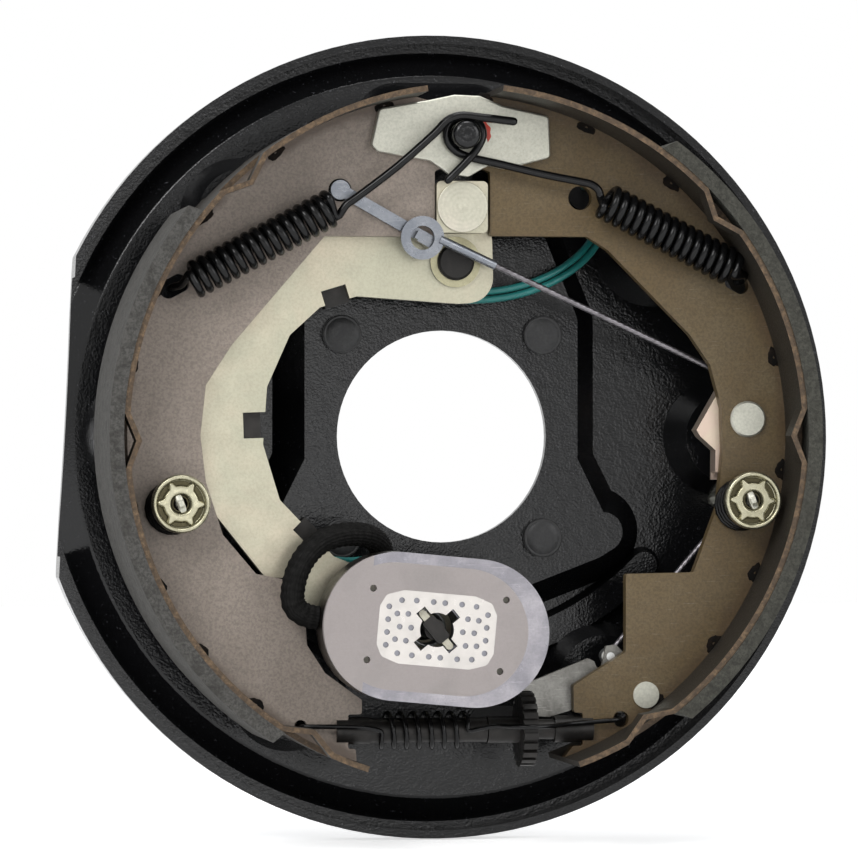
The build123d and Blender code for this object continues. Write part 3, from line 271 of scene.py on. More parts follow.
    @classmethod
    def sweep(cls, name: str, line: Array, u: Array, v: Array, radii: Array) -> Piece:
        """Carry a ring along a line and cap both ends: S(i, a) = L_i + r_ia (cos a U_i + sin a V_i).

        Args:
            name: the object's name.
            line: (n, 3) centre line in metres.
            u: (n, 3) first side direction at each point of the line.
            v: (n, 3) second side direction.
            radii: (n, m) radius in metres at each point of the line and around it.

        Returns:
            The closed piece.
        """
        rows, around = radii.shape
        angle = np.linspace(0, 2 * np.pi, around, endpoint=False)[None, :, None]
        ring = np.cos(angle) * u[:, None, :] + np.sin(angle) * v[:, None, :]
        points = np.vstack([(line[:, None, :] + radii[:, :, None] * ring).reshape(-1, 3), line[:1], line[-1:]])
        first_middle, last_ring = rows * around, (rows - 1) * around
        a = np.arange(around)
        b = (a + 1) % around
        start = np.stack([np.full(around, first_middle), b, a], 1)
        end = np.stack([np.full(around, first_middle + 1), last_ring + a, last_ring + b], 1)
        piece = cls.mesh(name, points, cls.grid_faces(rows, around) + start.tolist() + end.tolist())
        cls.face_out(piece)
        return piece

    @classmethod
    def tube(cls, name: str, line: Array, radius: float, around: int, round_ends: bool = True) -> Piece:
        """Carry a circle along a line.

        Args:
            name: the object's name.
            line: (n, 3) centre line in metres.
            radius: the circle's radius in metres.
            around: points around the circle.
            round_ends: whether the ends close in a small dome, or in a flat cap.

        Returns:
            The tube, closed at both ends.
        """
        tangents, u, v = cls.frames(line)
        radii = np.full(len(line), float(radius))
        if round_ends:
            rise = np.array([0.0, 0.5, 0.86])
            shrink = np.sqrt(1 - rise**2)
            start = line[0] - tangents[0] * radius * rise[::-1, None]
            end = line[-1] + tangents[-1] * radius * rise[:, None]
            line = np.vstack([start, line[1:-1], end])
            u, v = (np.vstack([np.repeat(w[:1], 3, 0), w[1:-1], np.repeat(w[-1:], 3, 0)]) for w in (u, v))
            radii = np.concatenate([radius * shrink[::-1], radii[1:-1], radius * shrink])
        return cls.sweep(name, line, u, v, np.repeat(radii[:, None], around, 1))

    @classmethod
    def wrapped(cls, name: str, line: Array, radii: Array) -> Piece:
        """Carry a ring whose radius changes around and along a line, with flat ends.

        Args:
            name: the object's name.
            line: (n, 3) centre line in metres.
            radii: (n, m) radius in metres at each point of the line and around it.

        Returns:
            The closed piece.
        """
        _, u, v = cls.frames(line)
        return cls.sweep(name, line, u, v, radii)

    @classmethod
    def turned(
        cls, name: str, x: float, z: float, profile: list[tuple[float, float]], around: int = 64
    ) -> Piece:
        """Turn a section about an axis straight out of the plate.

        The surface is S(i, a) = centre + r_i (cos a, sin a) at the level l_i.

        Args:
            name: the object's name.
            x: the axis's place to the right, in millimetres.
            z: the axis's place up, in millimetres.
            profile: (radius, level) in millimetres; it ends at radius 0.
            around: points around the axis.

        Returns:
            The turned piece.
        """
        radius, level = np.array(profile).T[:, :, None]
        angle = np.linspace(0, 2 * np.pi, around, endpoint=False)[None, :]
        piece = cls.sheet(name, x + radius * np.cos(angle), z + radius * np.sin(angle), level)
        cls.face_out(piece)
        return piece

    @staticmethod
    def face_out(piece: Piece) -> None:
        """Turn all faces of a closed piece outwards.

        Args:
            piece: the piece, whose doubled points are merged too.
        """
        work = bmesh.new()
        work.from_mesh(piece.data)
        bmesh.ops.remove_doubles(work, verts=work.verts, dist=1e-7)
        bmesh.ops.recalc_face_normals(work, faces=work.faces)
        work.to_mesh(piece.data)
        work.free()
        piece.data.update()

    @staticmethod
    def thicken(piece: Piece, thickness: float, side: int) -> None:
        """Give a sheet a wall of some millimetres, about its surface (0) or outside it (1).

        Args:
            piece: the sheet.
            thickness: the wall in millimetres.
            side: 0 or 1, as above.
        """
        wall = piece.modifiers.new("wall", "SOLIDIFY")
        wall.thickness = thickness * MM
        wall.offset = side

    @staticmethod
    def join(name: str, pieces: list[Piece]) -> Piece:
        """Make several pieces one object of that name.

        Args:
            name: the new name.
            pieces: the pieces, of which the first one stays.

        Returns:
            The joined piece.
        """
        bpy.ops.object.select_all(action="DESELECT")
        for piece in pieces:
            piece.select_set(True)
        bpy.context.view_layer.objects.active = pieces[0]
        bpy.ops.object.join()
        pieces[0].name = name
        pieces[0].data.name = name
        return pieces[0]


# Finishes


class Graph:
    """Adds nodes to one node tree and joins them."""

    def __init__(self, tree: bpy.types.NodeTree) -> None:
        """Keep the tree."""
        self.tree = tree

    def node(self, kind: str, **settings: object) -> bpy.types.Node:
        """Add a node of a kind and set its properties.

        Args:
            kind: the node's type, without the words ShaderNode.
            settings: its properties.

        Returns:
            The new node.
        """
        made = self.tree.nodes.new("ShaderNode" + kind)
        for key, value in settings.items():
            setattr(made, key, value)
        return made

    def join(self, source: object, target: bpy.types.NodeSocket) -> None:
        """Link another node's output to an input, or set the input to a value.

        Args:
            source: an output or a value.
            target: the input.
        """
        if isinstance(source, Socket):
            self.tree.links.new(source, target)
        else:
            target.default_value = source

    def feed(self, made: bpy.types.Node, **inputs: object) -> bpy.types.Node:
        """Give a node its inputs by name, underscores for spaces.

        Args:
            made: the node.
            inputs: outputs or values by the input's name.

        Returns:
            The same node.
        """
        for key, value in inputs.items():
            self.join(value, made.inputs[key.replace("_", " ")])
        return made

    def math(self, operation: str, *values: object, kind: str = "Math", output: int | str = 0) -> Socket:
        """Return what an operation makes of values or of other nodes' outputs.

        Args:
            operation: the operation's name.
            values: values or outputs, in the inputs' order.
            kind: Math or VectorMath.
            output: which output is handed back.

        Returns:
            The result.
        """
        made = self.node(kind, operation=operation)
        for value, socket in zip(values, made.inputs):
            self.join(value, socket)
        return made.outputs[output]

    def where(self, output: str = "Object") -> Socket:
        """Return the shaded point's place, or its normal, in the brake's frame."""
        return self.node("TexCoord").outputs[output]

    def axis(self, vector: Socket, index: int) -> Socket:
        """Return one part of a vector."""
        return self.feed(self.node("SeparateXYZ"), Vector=vector).outputs[index]

    def noise(self, where: Socket, scale: object, **settings: float) -> Socket:
        """Return a noise at a place."""
        return self.feed(self.node("TexNoise"), Vector=where, Scale=scale, **settings).outputs[0]

    def mix(self, share: object, first: object, second: object) -> Socket:
        """Return the colour that goes from the first to the second as share goes from 0 to 1.

        Args:
            share: the share, a value or an output.
            first: the colour at 0.
            second: the colour at 1.

        Returns:
            The mixed colour.
        """
        made = self.node("Mix", data_type="RGBA", clamp_factor=True)
        self.join(share, made.inputs[0])
        for colour, socket in ((first, made.inputs[6]), (second, made.inputs[7])):
            self.join(colour if isinstance(colour, Socket) else (*colour, 1.0), socket)
        return made.outputs[2]

    def span(self, value: object, low: float, high: float, start: object = 0.0, end: object = 1.0) -> Socket:
        """Return a value carried from the span start..end to the span low..high, held within it.

        Args:
            value: the value or output.
            low: what start becomes.
            high: what end becomes.
            start: the first span's start.
            end: the first span's end.

        Returns:
            The carried value.
        """
        made = self.node("MapRange", clamp=True)
        self.feed(made, Value=value, From_Min=start, From_Max=end, To_Min=low, To_Max=high)
        return made.outputs[0]


class Effect(Enum):
    """Shader node groups that several finishes share."""

    MOTTLE = "mottle"
    SCRATCHES = "scratches"
    GRAIN = "grain"
    RING = "ring"
    # Painted shade in recesses deeper than a level.
    RECESS_SHADE = "depth"
    # Painted shade and highlights on faces turned from the drum side.
    SIDE_SHADING = "sides"
    TURNING = "turning"


class Effects:
    """Builds each shared effect once, as a node group."""

    scratch_ways = ((0.5, 14.0), (-0.9, 22.0))
    scratch_cut = (0.64, 0.72)
    wave_share = 0.22
    rag_scale = 110.0
    depth_step = (0.0001, 0.0004)
    side_start = -0.95
    side_full = (-0.9, 0.0)

    def __init__(self) -> None:
        """Build every group."""
        builders = (
            self._mottle, self._scratches, self._grain, self._ring, self._depth, self._side_shading, self._turning
        )
        self.groups = {effect: build() for effect, build in zip(Effect, builders, strict=True)}

    @staticmethod
    def _open(effect: Effect, output: str, **inputs: float) -> tuple[Graph, dict[str, Socket]]:
        """Start a group with float inputs and one float output.

        Args:
            effect: names the group.
            output: the output's name.
            inputs: each input's name and first value.

        Returns:
            The graph and the group's inputs by name.
        """
        tree = bpy.data.node_groups.new(effect.value, "ShaderNodeTree")
        for key, value in inputs.items():
            socket = tree.interface.new_socket(key, in_out="INPUT", socket_type="NodeSocketFloat")
            socket.default_value = value
        tree.interface.new_socket(output, in_out="OUTPUT", socket_type="NodeSocketFloat")
        given = tree.nodes.new("NodeGroupInput")
        return Graph(tree), {key: given.outputs[key] for key in inputs}

    @staticmethod
    def _close(graph: Graph, result: Socket) -> bpy.types.NodeTree:
        """Hand out a group's result."""
        graph.join(result, graph.tree.nodes.new("NodeGroupOutput").inputs[0])
        return graph.tree

    def _mottle(self) -> bpy.types.NodeTree:
        """Soft blotches: a noise cut between Low and High.

        Returns:
            The group's tree.
        """
        graph, given = self._open(Effect.MOTTLE, "Mask", Scale=60.0, Low=0.45, High=0.65)
        broad = graph.noise(graph.where(), given["Scale"], Detail=6.0, Roughness=0.62, Distortion=0.4)
        return self._close(graph, graph.span(broad, 0.0, 1.0, given["Low"], given["High"]))

    def _scratches(self) -> bpy.types.NodeTree:
        """Fine lines: two noises stretched along different ways across the brake's face, kept where high.

        Returns:
            The group's tree.
        """
        graph, given = self._open(Effect.SCRATCHES, "Mask", Scale=90.0, Amount=0.3)
        where = graph.where()
        masks = []
        for turn, stretch in self.scratch_ways:
            turned = graph.feed(graph.node("Mapping"), Vector=where, Rotation=(0.0, turn, 0.0))
            graph.feed(turned, Scale=(1.0, 1.0, stretch))
            lines = graph.noise(turned.outputs[0], given["Scale"], Detail=3.0, Roughness=0.5)
            masks.append(graph.span(lines, 0.0, 1.0, *self.scratch_cut))
        return self._close(graph, graph.math("MULTIPLY", graph.math("MAXIMUM", *masks), given["Amount"]))

    def _grain(self) -> bpy.types.NodeTree:
        """Small bumps of paint or casting skin: a fine noise, and a coarser one as high as Waviness says.

        Returns:
            The group's tree.
        """
        graph, given = self._open(Effect.GRAIN, "Height", Scale=900.0, Waviness=0.3)
        where = graph.where()
        fine = graph.noise(where, given["Scale"], Detail=2.0, Roughness=0.5)
        coarse = graph.noise(where, graph.math("MULTIPLY", given["Scale"], self.wave_share), Detail=1.0)
        return self._close(graph, graph.math("ADD", fine, graph.math("MULTIPLY", coarse, given["Waviness"])))

    def _ring(self) -> bpy.types.NodeTree:
        """Mask that grows away from the brake's axis, from Inner to Outer, broken up by a noise.

        Returns:
            The group's tree.
        """
        graph, given = self._open(Effect.RING, "Mask", Inner=0.1, Outer=0.12, Ragged=0.01)
        where = graph.where()
        flat = graph.math("MULTIPLY", where, (1.0, 0.0, 1.0), kind="VectorMath")
        reach = graph.math("LENGTH", flat, kind="VectorMath", output="Value")
        noise = graph.noise(where, self.rag_scale, Detail=4.0)
        ragged = graph.math("MULTIPLY_ADD", noise, given["Ragged"], reach)
        return self._close(graph, graph.span(ragged, 0.0, 1.0, given["Inner"], given["Outer"]))

    def _depth(self) -> bpy.types.NodeTree:
        """Mask of what lies deeper than a level in metres, with a soft step of a third of a millimetre;
        finishes lay painted shade in the recesses it marks.

        Returns:
            The group's tree.
        """
        graph, given = self._open(Effect.RECESS_SHADE, "Mask", Level=0.05)
        below = graph.math("ADD", graph.axis(graph.where(), 1), given["Level"])
        return self._close(graph, graph.span(below, 0.0, 1.0, *self.depth_step))

    def _side_shading(self) -> bpy.types.NodeTree:
        """Mask of the faces that turn away from the drum side, full at a slope from -0.9 to 0 as Turn says;
        finishes lay painted light on these sides, shade in a dark colour and a highlight in a light one.

        Returns:
            The group's tree.
        """
        graph, given = self._open(Effect.SIDE_SHADING, "Mask", Turn=0.6)
        facing = graph.axis(graph.where("Normal"), 1)
        full = graph.span(given["Turn"], *self.side_full)
        return self._close(graph, graph.span(facing, 0.0, 1.0, self.side_start, full))

    def _turning(self) -> bpy.types.NodeTree:
        """Rings left by turning about the place (X, Z): the sine of the distance from it, a turn each Pitch.

        Returns:
            The group's tree.
        """
        graph, given = self._open(Effect.TURNING, "Height", X=0.0, Z=0.0, Pitch=0.0012)
        centre = graph.feed(graph.node("CombineXYZ"), X=given["X"], Z=given["Z"]).outputs[0]
        flat = graph.math("MULTIPLY", graph.where(), (1.0, 0.0, 1.0), kind="VectorMath")
        reach = graph.math("DISTANCE", flat, centre, kind="VectorMath", output="Value")
        turns = graph.math("DIVIDE", reach, given["Pitch"])
        wave = graph.math("SINE", graph.math("MULTIPLY", turns, 2 * np.pi))
        return self._close(graph, graph.span(wave, 0.0, 1.0, -1.0, 1.0))

    def put(self, graph: Graph, effect: Effect, **values: float) -> Socket:
        """Place an effect in a material with its own values and return its output."""
        return graph.feed(graph.node("Group", node_tree=self.groups[effect]), **values).outputs[0]

    def mottle(self, graph: Graph, scale: float, cut: tuple[float, float]) -> Socket:
        """Place blotches of a scale, cut between two heights of their noise."""
        return self.put(graph, Effect.MOTTLE, Scale=scale, Low=cut[0], High=cut[1])


@dataclass(frozen=True)
class Finish:
    """How one surface looks. Levels and places are in millimetres, spans from the axis in metres.

    A blotch colour mottles the base colour, specks darken it, and the rim, scratch, side, pit and turning
    colours lie over it in that order.
    The side colour is painted light on faces turned from the drum side: shade where it is dark, a highlight
    where it is light. The pit colour is painted shade in recesses. On the gloss enamel the blotch colour is
    light grey spots, painted glints.
    """

    name: str
    base: Colour
    # Blotch colour: a real stain on most finishes, painted glints on the gloss enamel.
    stain_and_glint: Colour
    rough: tuple[float, float]
    metallic: float = 0.0
    gloss: float = 0.5
    stain_scale: float = 60.0
    stain_cut: tuple[float, float] = (0.45, 0.7)
    grain_scale: float = 1500.0
    grain_depth: float = 0.04
    wavy: float = 0.3
    speckle: float = 0.0
    scratch: float = 0.0
    scratch_colour: Colour = (0.6, 0.58, 0.54)
    rim_colour: Colour | None = None
    rim_span: tuple[float, float] = (0.1, 0.12)
    rim_share: float = 1.0
    # Painted light on faces turned from the drum side: a dark colour paints shade there, a light one a
    # highlight.
    side_shading_colour: Colour | None = None
    # Painted shade in recesses: what lies deeper than this level takes this darker colour.
    recess_shade_level: float | None = None
    recess_shade_colour: Colour = (0.05, 0.045, 0.035)
    turned_about: tuple[float, float] | None = None
    ragged: ClassVar[float] = 0.006
    scratch_scale: ClassVar[float] = 120.0
    speck_scale: ClassVar[float] = 1100.0
    speck_cut: ClassVar[tuple[float, float]] = (0.42, 0.62)
    speck_tone: ClassVar[float] = 0.35
    side_turn: ClassVar[float] = 0.6
    gloss_cut: ClassVar[tuple[float, float]] = (0.3, 0.7)
    gloss_fineness: ClassVar[float] = 5.0
    turning_tone: ClassVar[float] = 0.55
    turning_share: ClassVar[float] = 0.14
    turning_pitch: ClassVar[float] = 1.5

    def build(self, effects: Effects) -> bpy.types.Material:
        """Make the material.

        Args:
            effects: the shared node groups.

        Returns:
            A material whose colour, roughness and normal change over the surface.
        """
        material = bpy.data.materials.new(self.name)
        material.use_nodes = True
        graph = Graph(material.node_tree)
        shader = material.node_tree.nodes["Principled BSDF"]
        graph.feed(shader, Metallic=self.metallic, Specular_IOR_Level=self.gloss)
        blotches = effects.mottle(graph, self.stain_scale, self.stain_cut)
        colour = graph.mix(blotches, self.base, self.stain_and_glint)
        if self.rim_colour is not None:
            inner, outer = self.rim_span
            ring = effects.put(graph, Effect.RING, Inner=inner, Outer=outer, Ragged=self.ragged)
            colour = graph.mix(graph.span(ring, 0.0, self.rim_share), colour, self.rim_colour)
        if self.scratch:
            lines = effects.put(graph, Effect.SCRATCHES, Scale=self.scratch_scale, Amount=self.scratch)
            colour = graph.mix(lines, colour, self.scratch_colour)
        if self.speckle:
            specks = effects.mottle(graph, self.speck_scale, self.speck_cut)
            colour = graph.mix(graph.span(specks, 0.0, self.speckle), colour, self.darker(self.speck_tone))
        # Painted light on the sides that turn from the drum side: shade where the side colour is dark, a
        # highlight where it is light.
        if self.side_shading_colour is not None:
            colour = graph.mix(effects.put(graph, Effect.SIDE_SHADING, Turn=self.side_turn), colour, self.side_shading_colour)
        # Painted shade: recesses deeper than the level take the darker colour.
        if self.recess_shade_level is not None:
            deep = effects.put(graph, Effect.RECESS_SHADE, Level=self.recess_shade_level * MM)
            colour = graph.mix(deep, colour, self.recess_shade_colour)
        if self.turned_about is not None:
            x, z = self.turned_about
            rings = effects.put(graph, Effect.TURNING, X=x * MM, Z=z * MM, Pitch=self.turning_pitch * MM)
            share = graph.span(rings, 0.0, self.turning_share)
            colour = graph.mix(share, colour, self.darker(self.turning_tone))
        fine = effects.mottle(graph, self.stain_scale * self.gloss_fineness, self.gloss_cut)
        height = effects.put(graph, Effect.GRAIN, Scale=self.grain_scale, Waviness=self.wavy)
        bump = graph.feed(graph.node("Bump"), Height=height, Strength=1.0, Distance=self.grain_depth * MM)
        graph.feed(shader, Base_Color=colour, Roughness=graph.span(fine, *self.rough), Normal=bump.outputs[0])
        return material

    def darker(self, tone: float) -> Colour:
        """Return the base colour times a tone."""
        return tuple(tone * part for part in self.base)


FINISHES = [
    # Gloss enamel: its light grey blotch colour, in small sparse spots, paints glints of the enamel's sparkle,
    # painted highlights.
    Finish("gloss_black_enamel", (0.0045, 0.0046, 0.005), (0.09, 0.09, 0.1), (0.1, 0.2), gloss=0.3,
           stain_scale=800.0, stain_cut=(0.64, 0.76), grain_scale=1150.0, grain_depth=0.1, wavy=0.9),
    Finish("stud_enamel", (0.021, 0.021, 0.0215), (0.034, 0.034, 0.034), (0.35, 0.5), gloss=0.3,
           stain_scale=240.0, grain_scale=900.0, grain_depth=0.06, speckle=0.4),
    Finish("taupe_primer", (0.282, 0.236, 0.199), (0.225, 0.187, 0.156), (0.42, 0.6), gloss=0.35,
           stain_scale=26.0, grain_scale=800.0, grain_depth=0.035, wavy=0.8, speckle=0.42, scratch=0.08,
           rim_colour=(0.08, 0.055, 0.04), rim_span=(0.1165, 0.1195), rim_share=0.75),
    Finish("olive_primer", (0.108, 0.073, 0.031), (0.138, 0.104, 0.055), (0.36, 0.55), gloss=0.35,
           stain_scale=20.0, grain_scale=800.0, grain_depth=0.035, wavy=0.8, speckle=0.42, scratch=0.08,
           rim_colour=(0.062, 0.035, 0.018), rim_span=(0.116, 0.1195), rim_share=0.55),
    # Its dark side colour is painted shade on the tables' sides.
    Finish("table_steel", (0.07, 0.046, 0.027), (0.19, 0.125, 0.07), (0.4, 0.65), gloss=0.3,
           stain_scale=420.0, grain_scale=900.0, grain_depth=0.08, speckle=0.5,
           side_shading_colour=(0.02, 0.017, 0.013)),
    Finish("lining_pad", (0.08, 0.077, 0.071), (0.036, 0.034, 0.03), (0.75, 0.95), gloss=0.3,
           stain_scale=260.0, grain_scale=1600.0, grain_depth=0.25, wavy=1.2, speckle=0.7),
    Finish("lining_olive", (0.058, 0.057, 0.047), (0.027, 0.026, 0.021), (0.75, 0.95), gloss=0.3,
           stain_scale=300.0, grain_scale=1600.0, grain_depth=0.25, wavy=1.2, speckle=0.7),
    Finish("yellow_zinc", (0.405, 0.392, 0.3), (0.49, 0.43, 0.33), (0.3, 0.46), metallic=0.75,
           stain_scale=22.0, stain_cut=(0.4, 0.66), grain_scale=1300.0, grain_depth=0.015, speckle=0.16,
           scratch=0.14, scratch_colour=(0.36, 0.35, 0.29)),
    Finish("turned_zinc", (0.47, 0.455, 0.37), (0.54, 0.5, 0.42), (0.34, 0.46), metallic=0.7,
           grain_scale=1300.0, grain_depth=0.01, speckle=0.16, turned_about=(1.9, 79.6)),
    # Its dark side colour is painted shade on the bush's sides.
    Finish("gold_zinc", (0.34, 0.32, 0.21), (0.23, 0.21, 0.13), (0.26, 0.4), metallic=0.85, stain_scale=90.0,
           grain_depth=0.01, speckle=0.2, side_shading_colour=(0.05, 0.045, 0.03)),
    # Its dark pit colour is painted shade on the cup's floor, below the star.
    Finish("cup_zinc", (0.4, 0.38, 0.275), (0.31, 0.29, 0.195), (0.22, 0.38), metallic=0.9,
           stain_scale=120.0, grain_depth=0.01, speckle=0.15, recess_shade_level=45.6,
           recess_shade_colour=(0.055, 0.048, 0.026)),
    Finish("pink_zinc", (0.56, 0.44, 0.36), (0.6, 0.54, 0.4), (0.3, 0.45), metallic=0.7, grain_depth=0.01),
    Finish("silver_zinc", (0.54, 0.55, 0.54), (0.44, 0.44, 0.43), (0.25, 0.42), metallic=0.9,
           stain_scale=70.0, grain_depth=0.012, speckle=0.12, scratch=0.15),
    Finish("blue_zinc", (0.17, 0.182, 0.205), (0.25, 0.26, 0.28), (0.22, 0.38), metallic=0.9,
           stain_scale=90.0, grain_depth=0.012, speckle=0.1, scratch=0.12),
    # Adjusting lever: scratches and dark tone are its wear; the light side colour is a painted highlight on its
    # edges.
    Finish("worn_zinc_highlit_edges", (0.2, 0.195, 0.18), (0.09, 0.086, 0.078), (0.3, 0.5), metallic=0.85,
           stain_scale=70.0, grain_depth=0.012, speckle=0.3, scratch=0.2, side_shading_colour=(0.6, 0.58, 0.52)),
    # Its light side colour is a painted highlight on the sides of the anchor plate, pin and rivet.
    Finish("satin_zinc", (0.49, 0.485, 0.415), (0.41, 0.405, 0.345), (0.33, 0.46), metallic=0.75,
           stain_scale=34.0, grain_scale=1300.0, grain_depth=0.012, speckle=0.24, scratch=0.15,
           side_shading_colour=(0.62, 0.61, 0.54)),
    Finish("dark_steel", (0.018, 0.017, 0.016), (0.034, 0.031, 0.029), (0.3, 0.5), metallic=0.5, gloss=0.3,
           stain_scale=90.0, grain_scale=1300.0),
    Finish("spring_enamel", (0.0035, 0.0035, 0.0038), (0.006, 0.006, 0.006), (0.14, 0.26), gloss=0.22,
           stain_scale=200.0, grain_depth=0.02),
    # Its grey pit colour is painted shade in the pole's dimples and opening.
    Finish("ground_steel", (0.5, 0.475, 0.45), (0.43, 0.41, 0.39), (0.26, 0.4), metallic=0.9,
           grain_scale=2000.0, grain_depth=0.006, scratch=0.35, scratch_colour=(0.4, 0.38, 0.36),
           recess_shade_level=57.8, recess_shade_colour=(0.2, 0.2, 0.22)),
    # Its dark side colour is painted shade on the magnet case's sides.
    Finish("ground_edge", (0.215, 0.208, 0.228), (0.33, 0.315, 0.335), (0.26, 0.4), metallic=0.9,
           grain_scale=2000.0, grain_depth=0.006, speckle=0.15, scratch=0.3, scratch_colour=(0.6, 0.58, 0.6),
           side_shading_colour=(0.02, 0.016, 0.012)),
    Finish("magnet_resin", (0.325, 0.292, 0.283), (0.285, 0.26, 0.25), (0.6, 0.8), gloss=0.3,
           stain_scale=55.0, grain_scale=2200.0, grain_depth=0.02, speckle=0.06, scratch=0.2,
           scratch_colour=(0.4, 0.37, 0.35)),
    Finish("coil_potting", (0.5, 0.49, 0.42), (0.36, 0.36, 0.31), (0.5, 0.7), stain_scale=300.0,
           grain_scale=900.0),
    Finish("cream_insulator", (0.55, 0.52, 0.42), (0.4, 0.37, 0.29), (0.4, 0.6), stain_scale=300.0,
           grain_scale=900.0),
    Finish("copper_winding", (0.5, 0.22, 0.1), (0.35, 0.14, 0.06), (0.3, 0.45), metallic=0.7,
           stain_scale=45.0, grain_scale=900.0),
    Finish("black_rubber", (0.008, 0.008, 0.008), (0.013, 0.012, 0.012), (0.55, 0.75), gloss=0.25,
           stain_scale=45.0, grain_scale=1200.0),
    Finish("black_yarn", (0.0045, 0.0043, 0.004), (0.011, 0.0105, 0.01), (0.7, 0.9), gloss=0.12,
           stain_scale=500.0, grain_scale=3000.0, grain_depth=0.03),
    Finish("bright_wire", (0.17, 0.16, 0.17), (0.09, 0.085, 0.09), (0.3, 0.45), metallic=0.9,
           stain_scale=300.0, grain_scale=3000.0, grain_depth=0.004),
    Finish("burnt_weld", (0.004, 0.0035, 0.003), (0.014, 0.009, 0.006), (0.7, 0.9), gloss=0.1,
           stain_scale=260.0, grain_depth=0.05),
    Finish("red_paint", (0.42, 0.035, 0.015), (0.3, 0.02, 0.01), (0.3, 0.5), stain_scale=400.0),
    Finish("teal_insulation", (0.014, 0.15, 0.14), (0.02, 0.19, 0.175), (0.28, 0.4), gloss=0.4,
           stain_scale=160.0, grain_depth=0.01),
]

NODES = {
    "gloss_black_enamel": ("backing_plate", "mounting_studs", "anchor_post"),
    "satin_zinc": ("anchor_plate", "adjusting_lever_pin", "guide_rivet"),
    "taupe_primer": ("primary_web",),
    "olive_primer": ("secondary_web",),
    "table_steel": ("primary_table", "secondary_table"),
    "lining_pad": ("primary_lining",),
    "lining_olive": ("secondary_lining",),
    "dark_steel": ("lever_pivot", "lead_clips", "magnet_post", "adjuster_socket", "star_wheel", "adjuster_nut"),
    "yellow_zinc": ("actuating_lever", "cam_block"),
    "gold_zinc": ("lever_bush",),
    "ground_edge": ("magnet_case",),
    "ground_steel": ("magnet_pole",),
    "coil_potting": ("magnet_coil",),
    "magnet_resin": ("magnet_facing",),
    "cream_insulator": ("magnet_clip",),
    "silver_zinc": ("magnet_spring", "adjuster_cable", "cable_ferrule", "hold_down_pins"),
    "spring_enamel": (
        "primary_return_spring", "secondary_return_spring", "adjuster_spring", "hold_down_springs",
    ),
    "worn_zinc_highlit_edges": ("adjusting_lever",),
    "pink_zinc": ("cable_guide",),
    "blue_zinc": ("cable_eyelet", "cable_link"),
    "cup_zinc": ("hold_down_cups",),
    "black_rubber": ("slot_plug", "lead_grommet", "braided_sleeve"),
    "teal_insulation": ("magnet_lead_1", "magnet_lead_2", "lead_coil"),
}


# Springs


@dataclass
class CoilSpring:
    """A close coil between two places, with a bent wire at each end, in millimetres."""

    name: str
    body: str
    node: str
    start: Spot
    end: Spot
    radius: float
    wire: float
    turns: float
    phase: float
    hook: list[Spot]
    tail: list[Spot]
    still: Spot
    moved: Spot
    steps: int = 14

    def line(self) -> Array:
        """Return the wire's centre line: the tail, the helix and the hook.

        The helix is H(t) = A + (B - A) t + r (cos(2 pi n t + p) U + sin(2 pi n t + p) V).

        Returns:
            (n, 3) points in metres.
        """
        a, b = place(*self.start), place(*self.end)
        axis = (b - a) / np.linalg.norm(b - a)
        u = np.cross(axis, (0.0, 1.0, 0.0))
        u /= np.linalg.norm(u)
        v = np.cross(axis, u)
        t = np.linspace(0, 1, int(self.turns * self.steps) + 1)[:, None]
        angle = 2 * np.pi * self.turns * t + np.radians(self.phase)
        helix = a + (b - a) * t + self.radius * MM * (np.cos(angle) * u + np.sin(angle) * v)
        return Surface.curve(np.vstack([places(self.tail)[::-1], helix, places(self.hook)]), per_run=3)

    def build(self, dressing: "Dressing") -> None:
        """Carry the wire along its line, paint it and hide the imported spring.

        Args:
            dressing: holds the finishes.
        """
        piece = Surface.tube(self.name, self.line(), self.wire / 2 * MM, around=10)
        dressing.paint(piece, "spring_enamel")
        place(*self.still)
        place(*self.moved)
        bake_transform(piece)
        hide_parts(self.node)


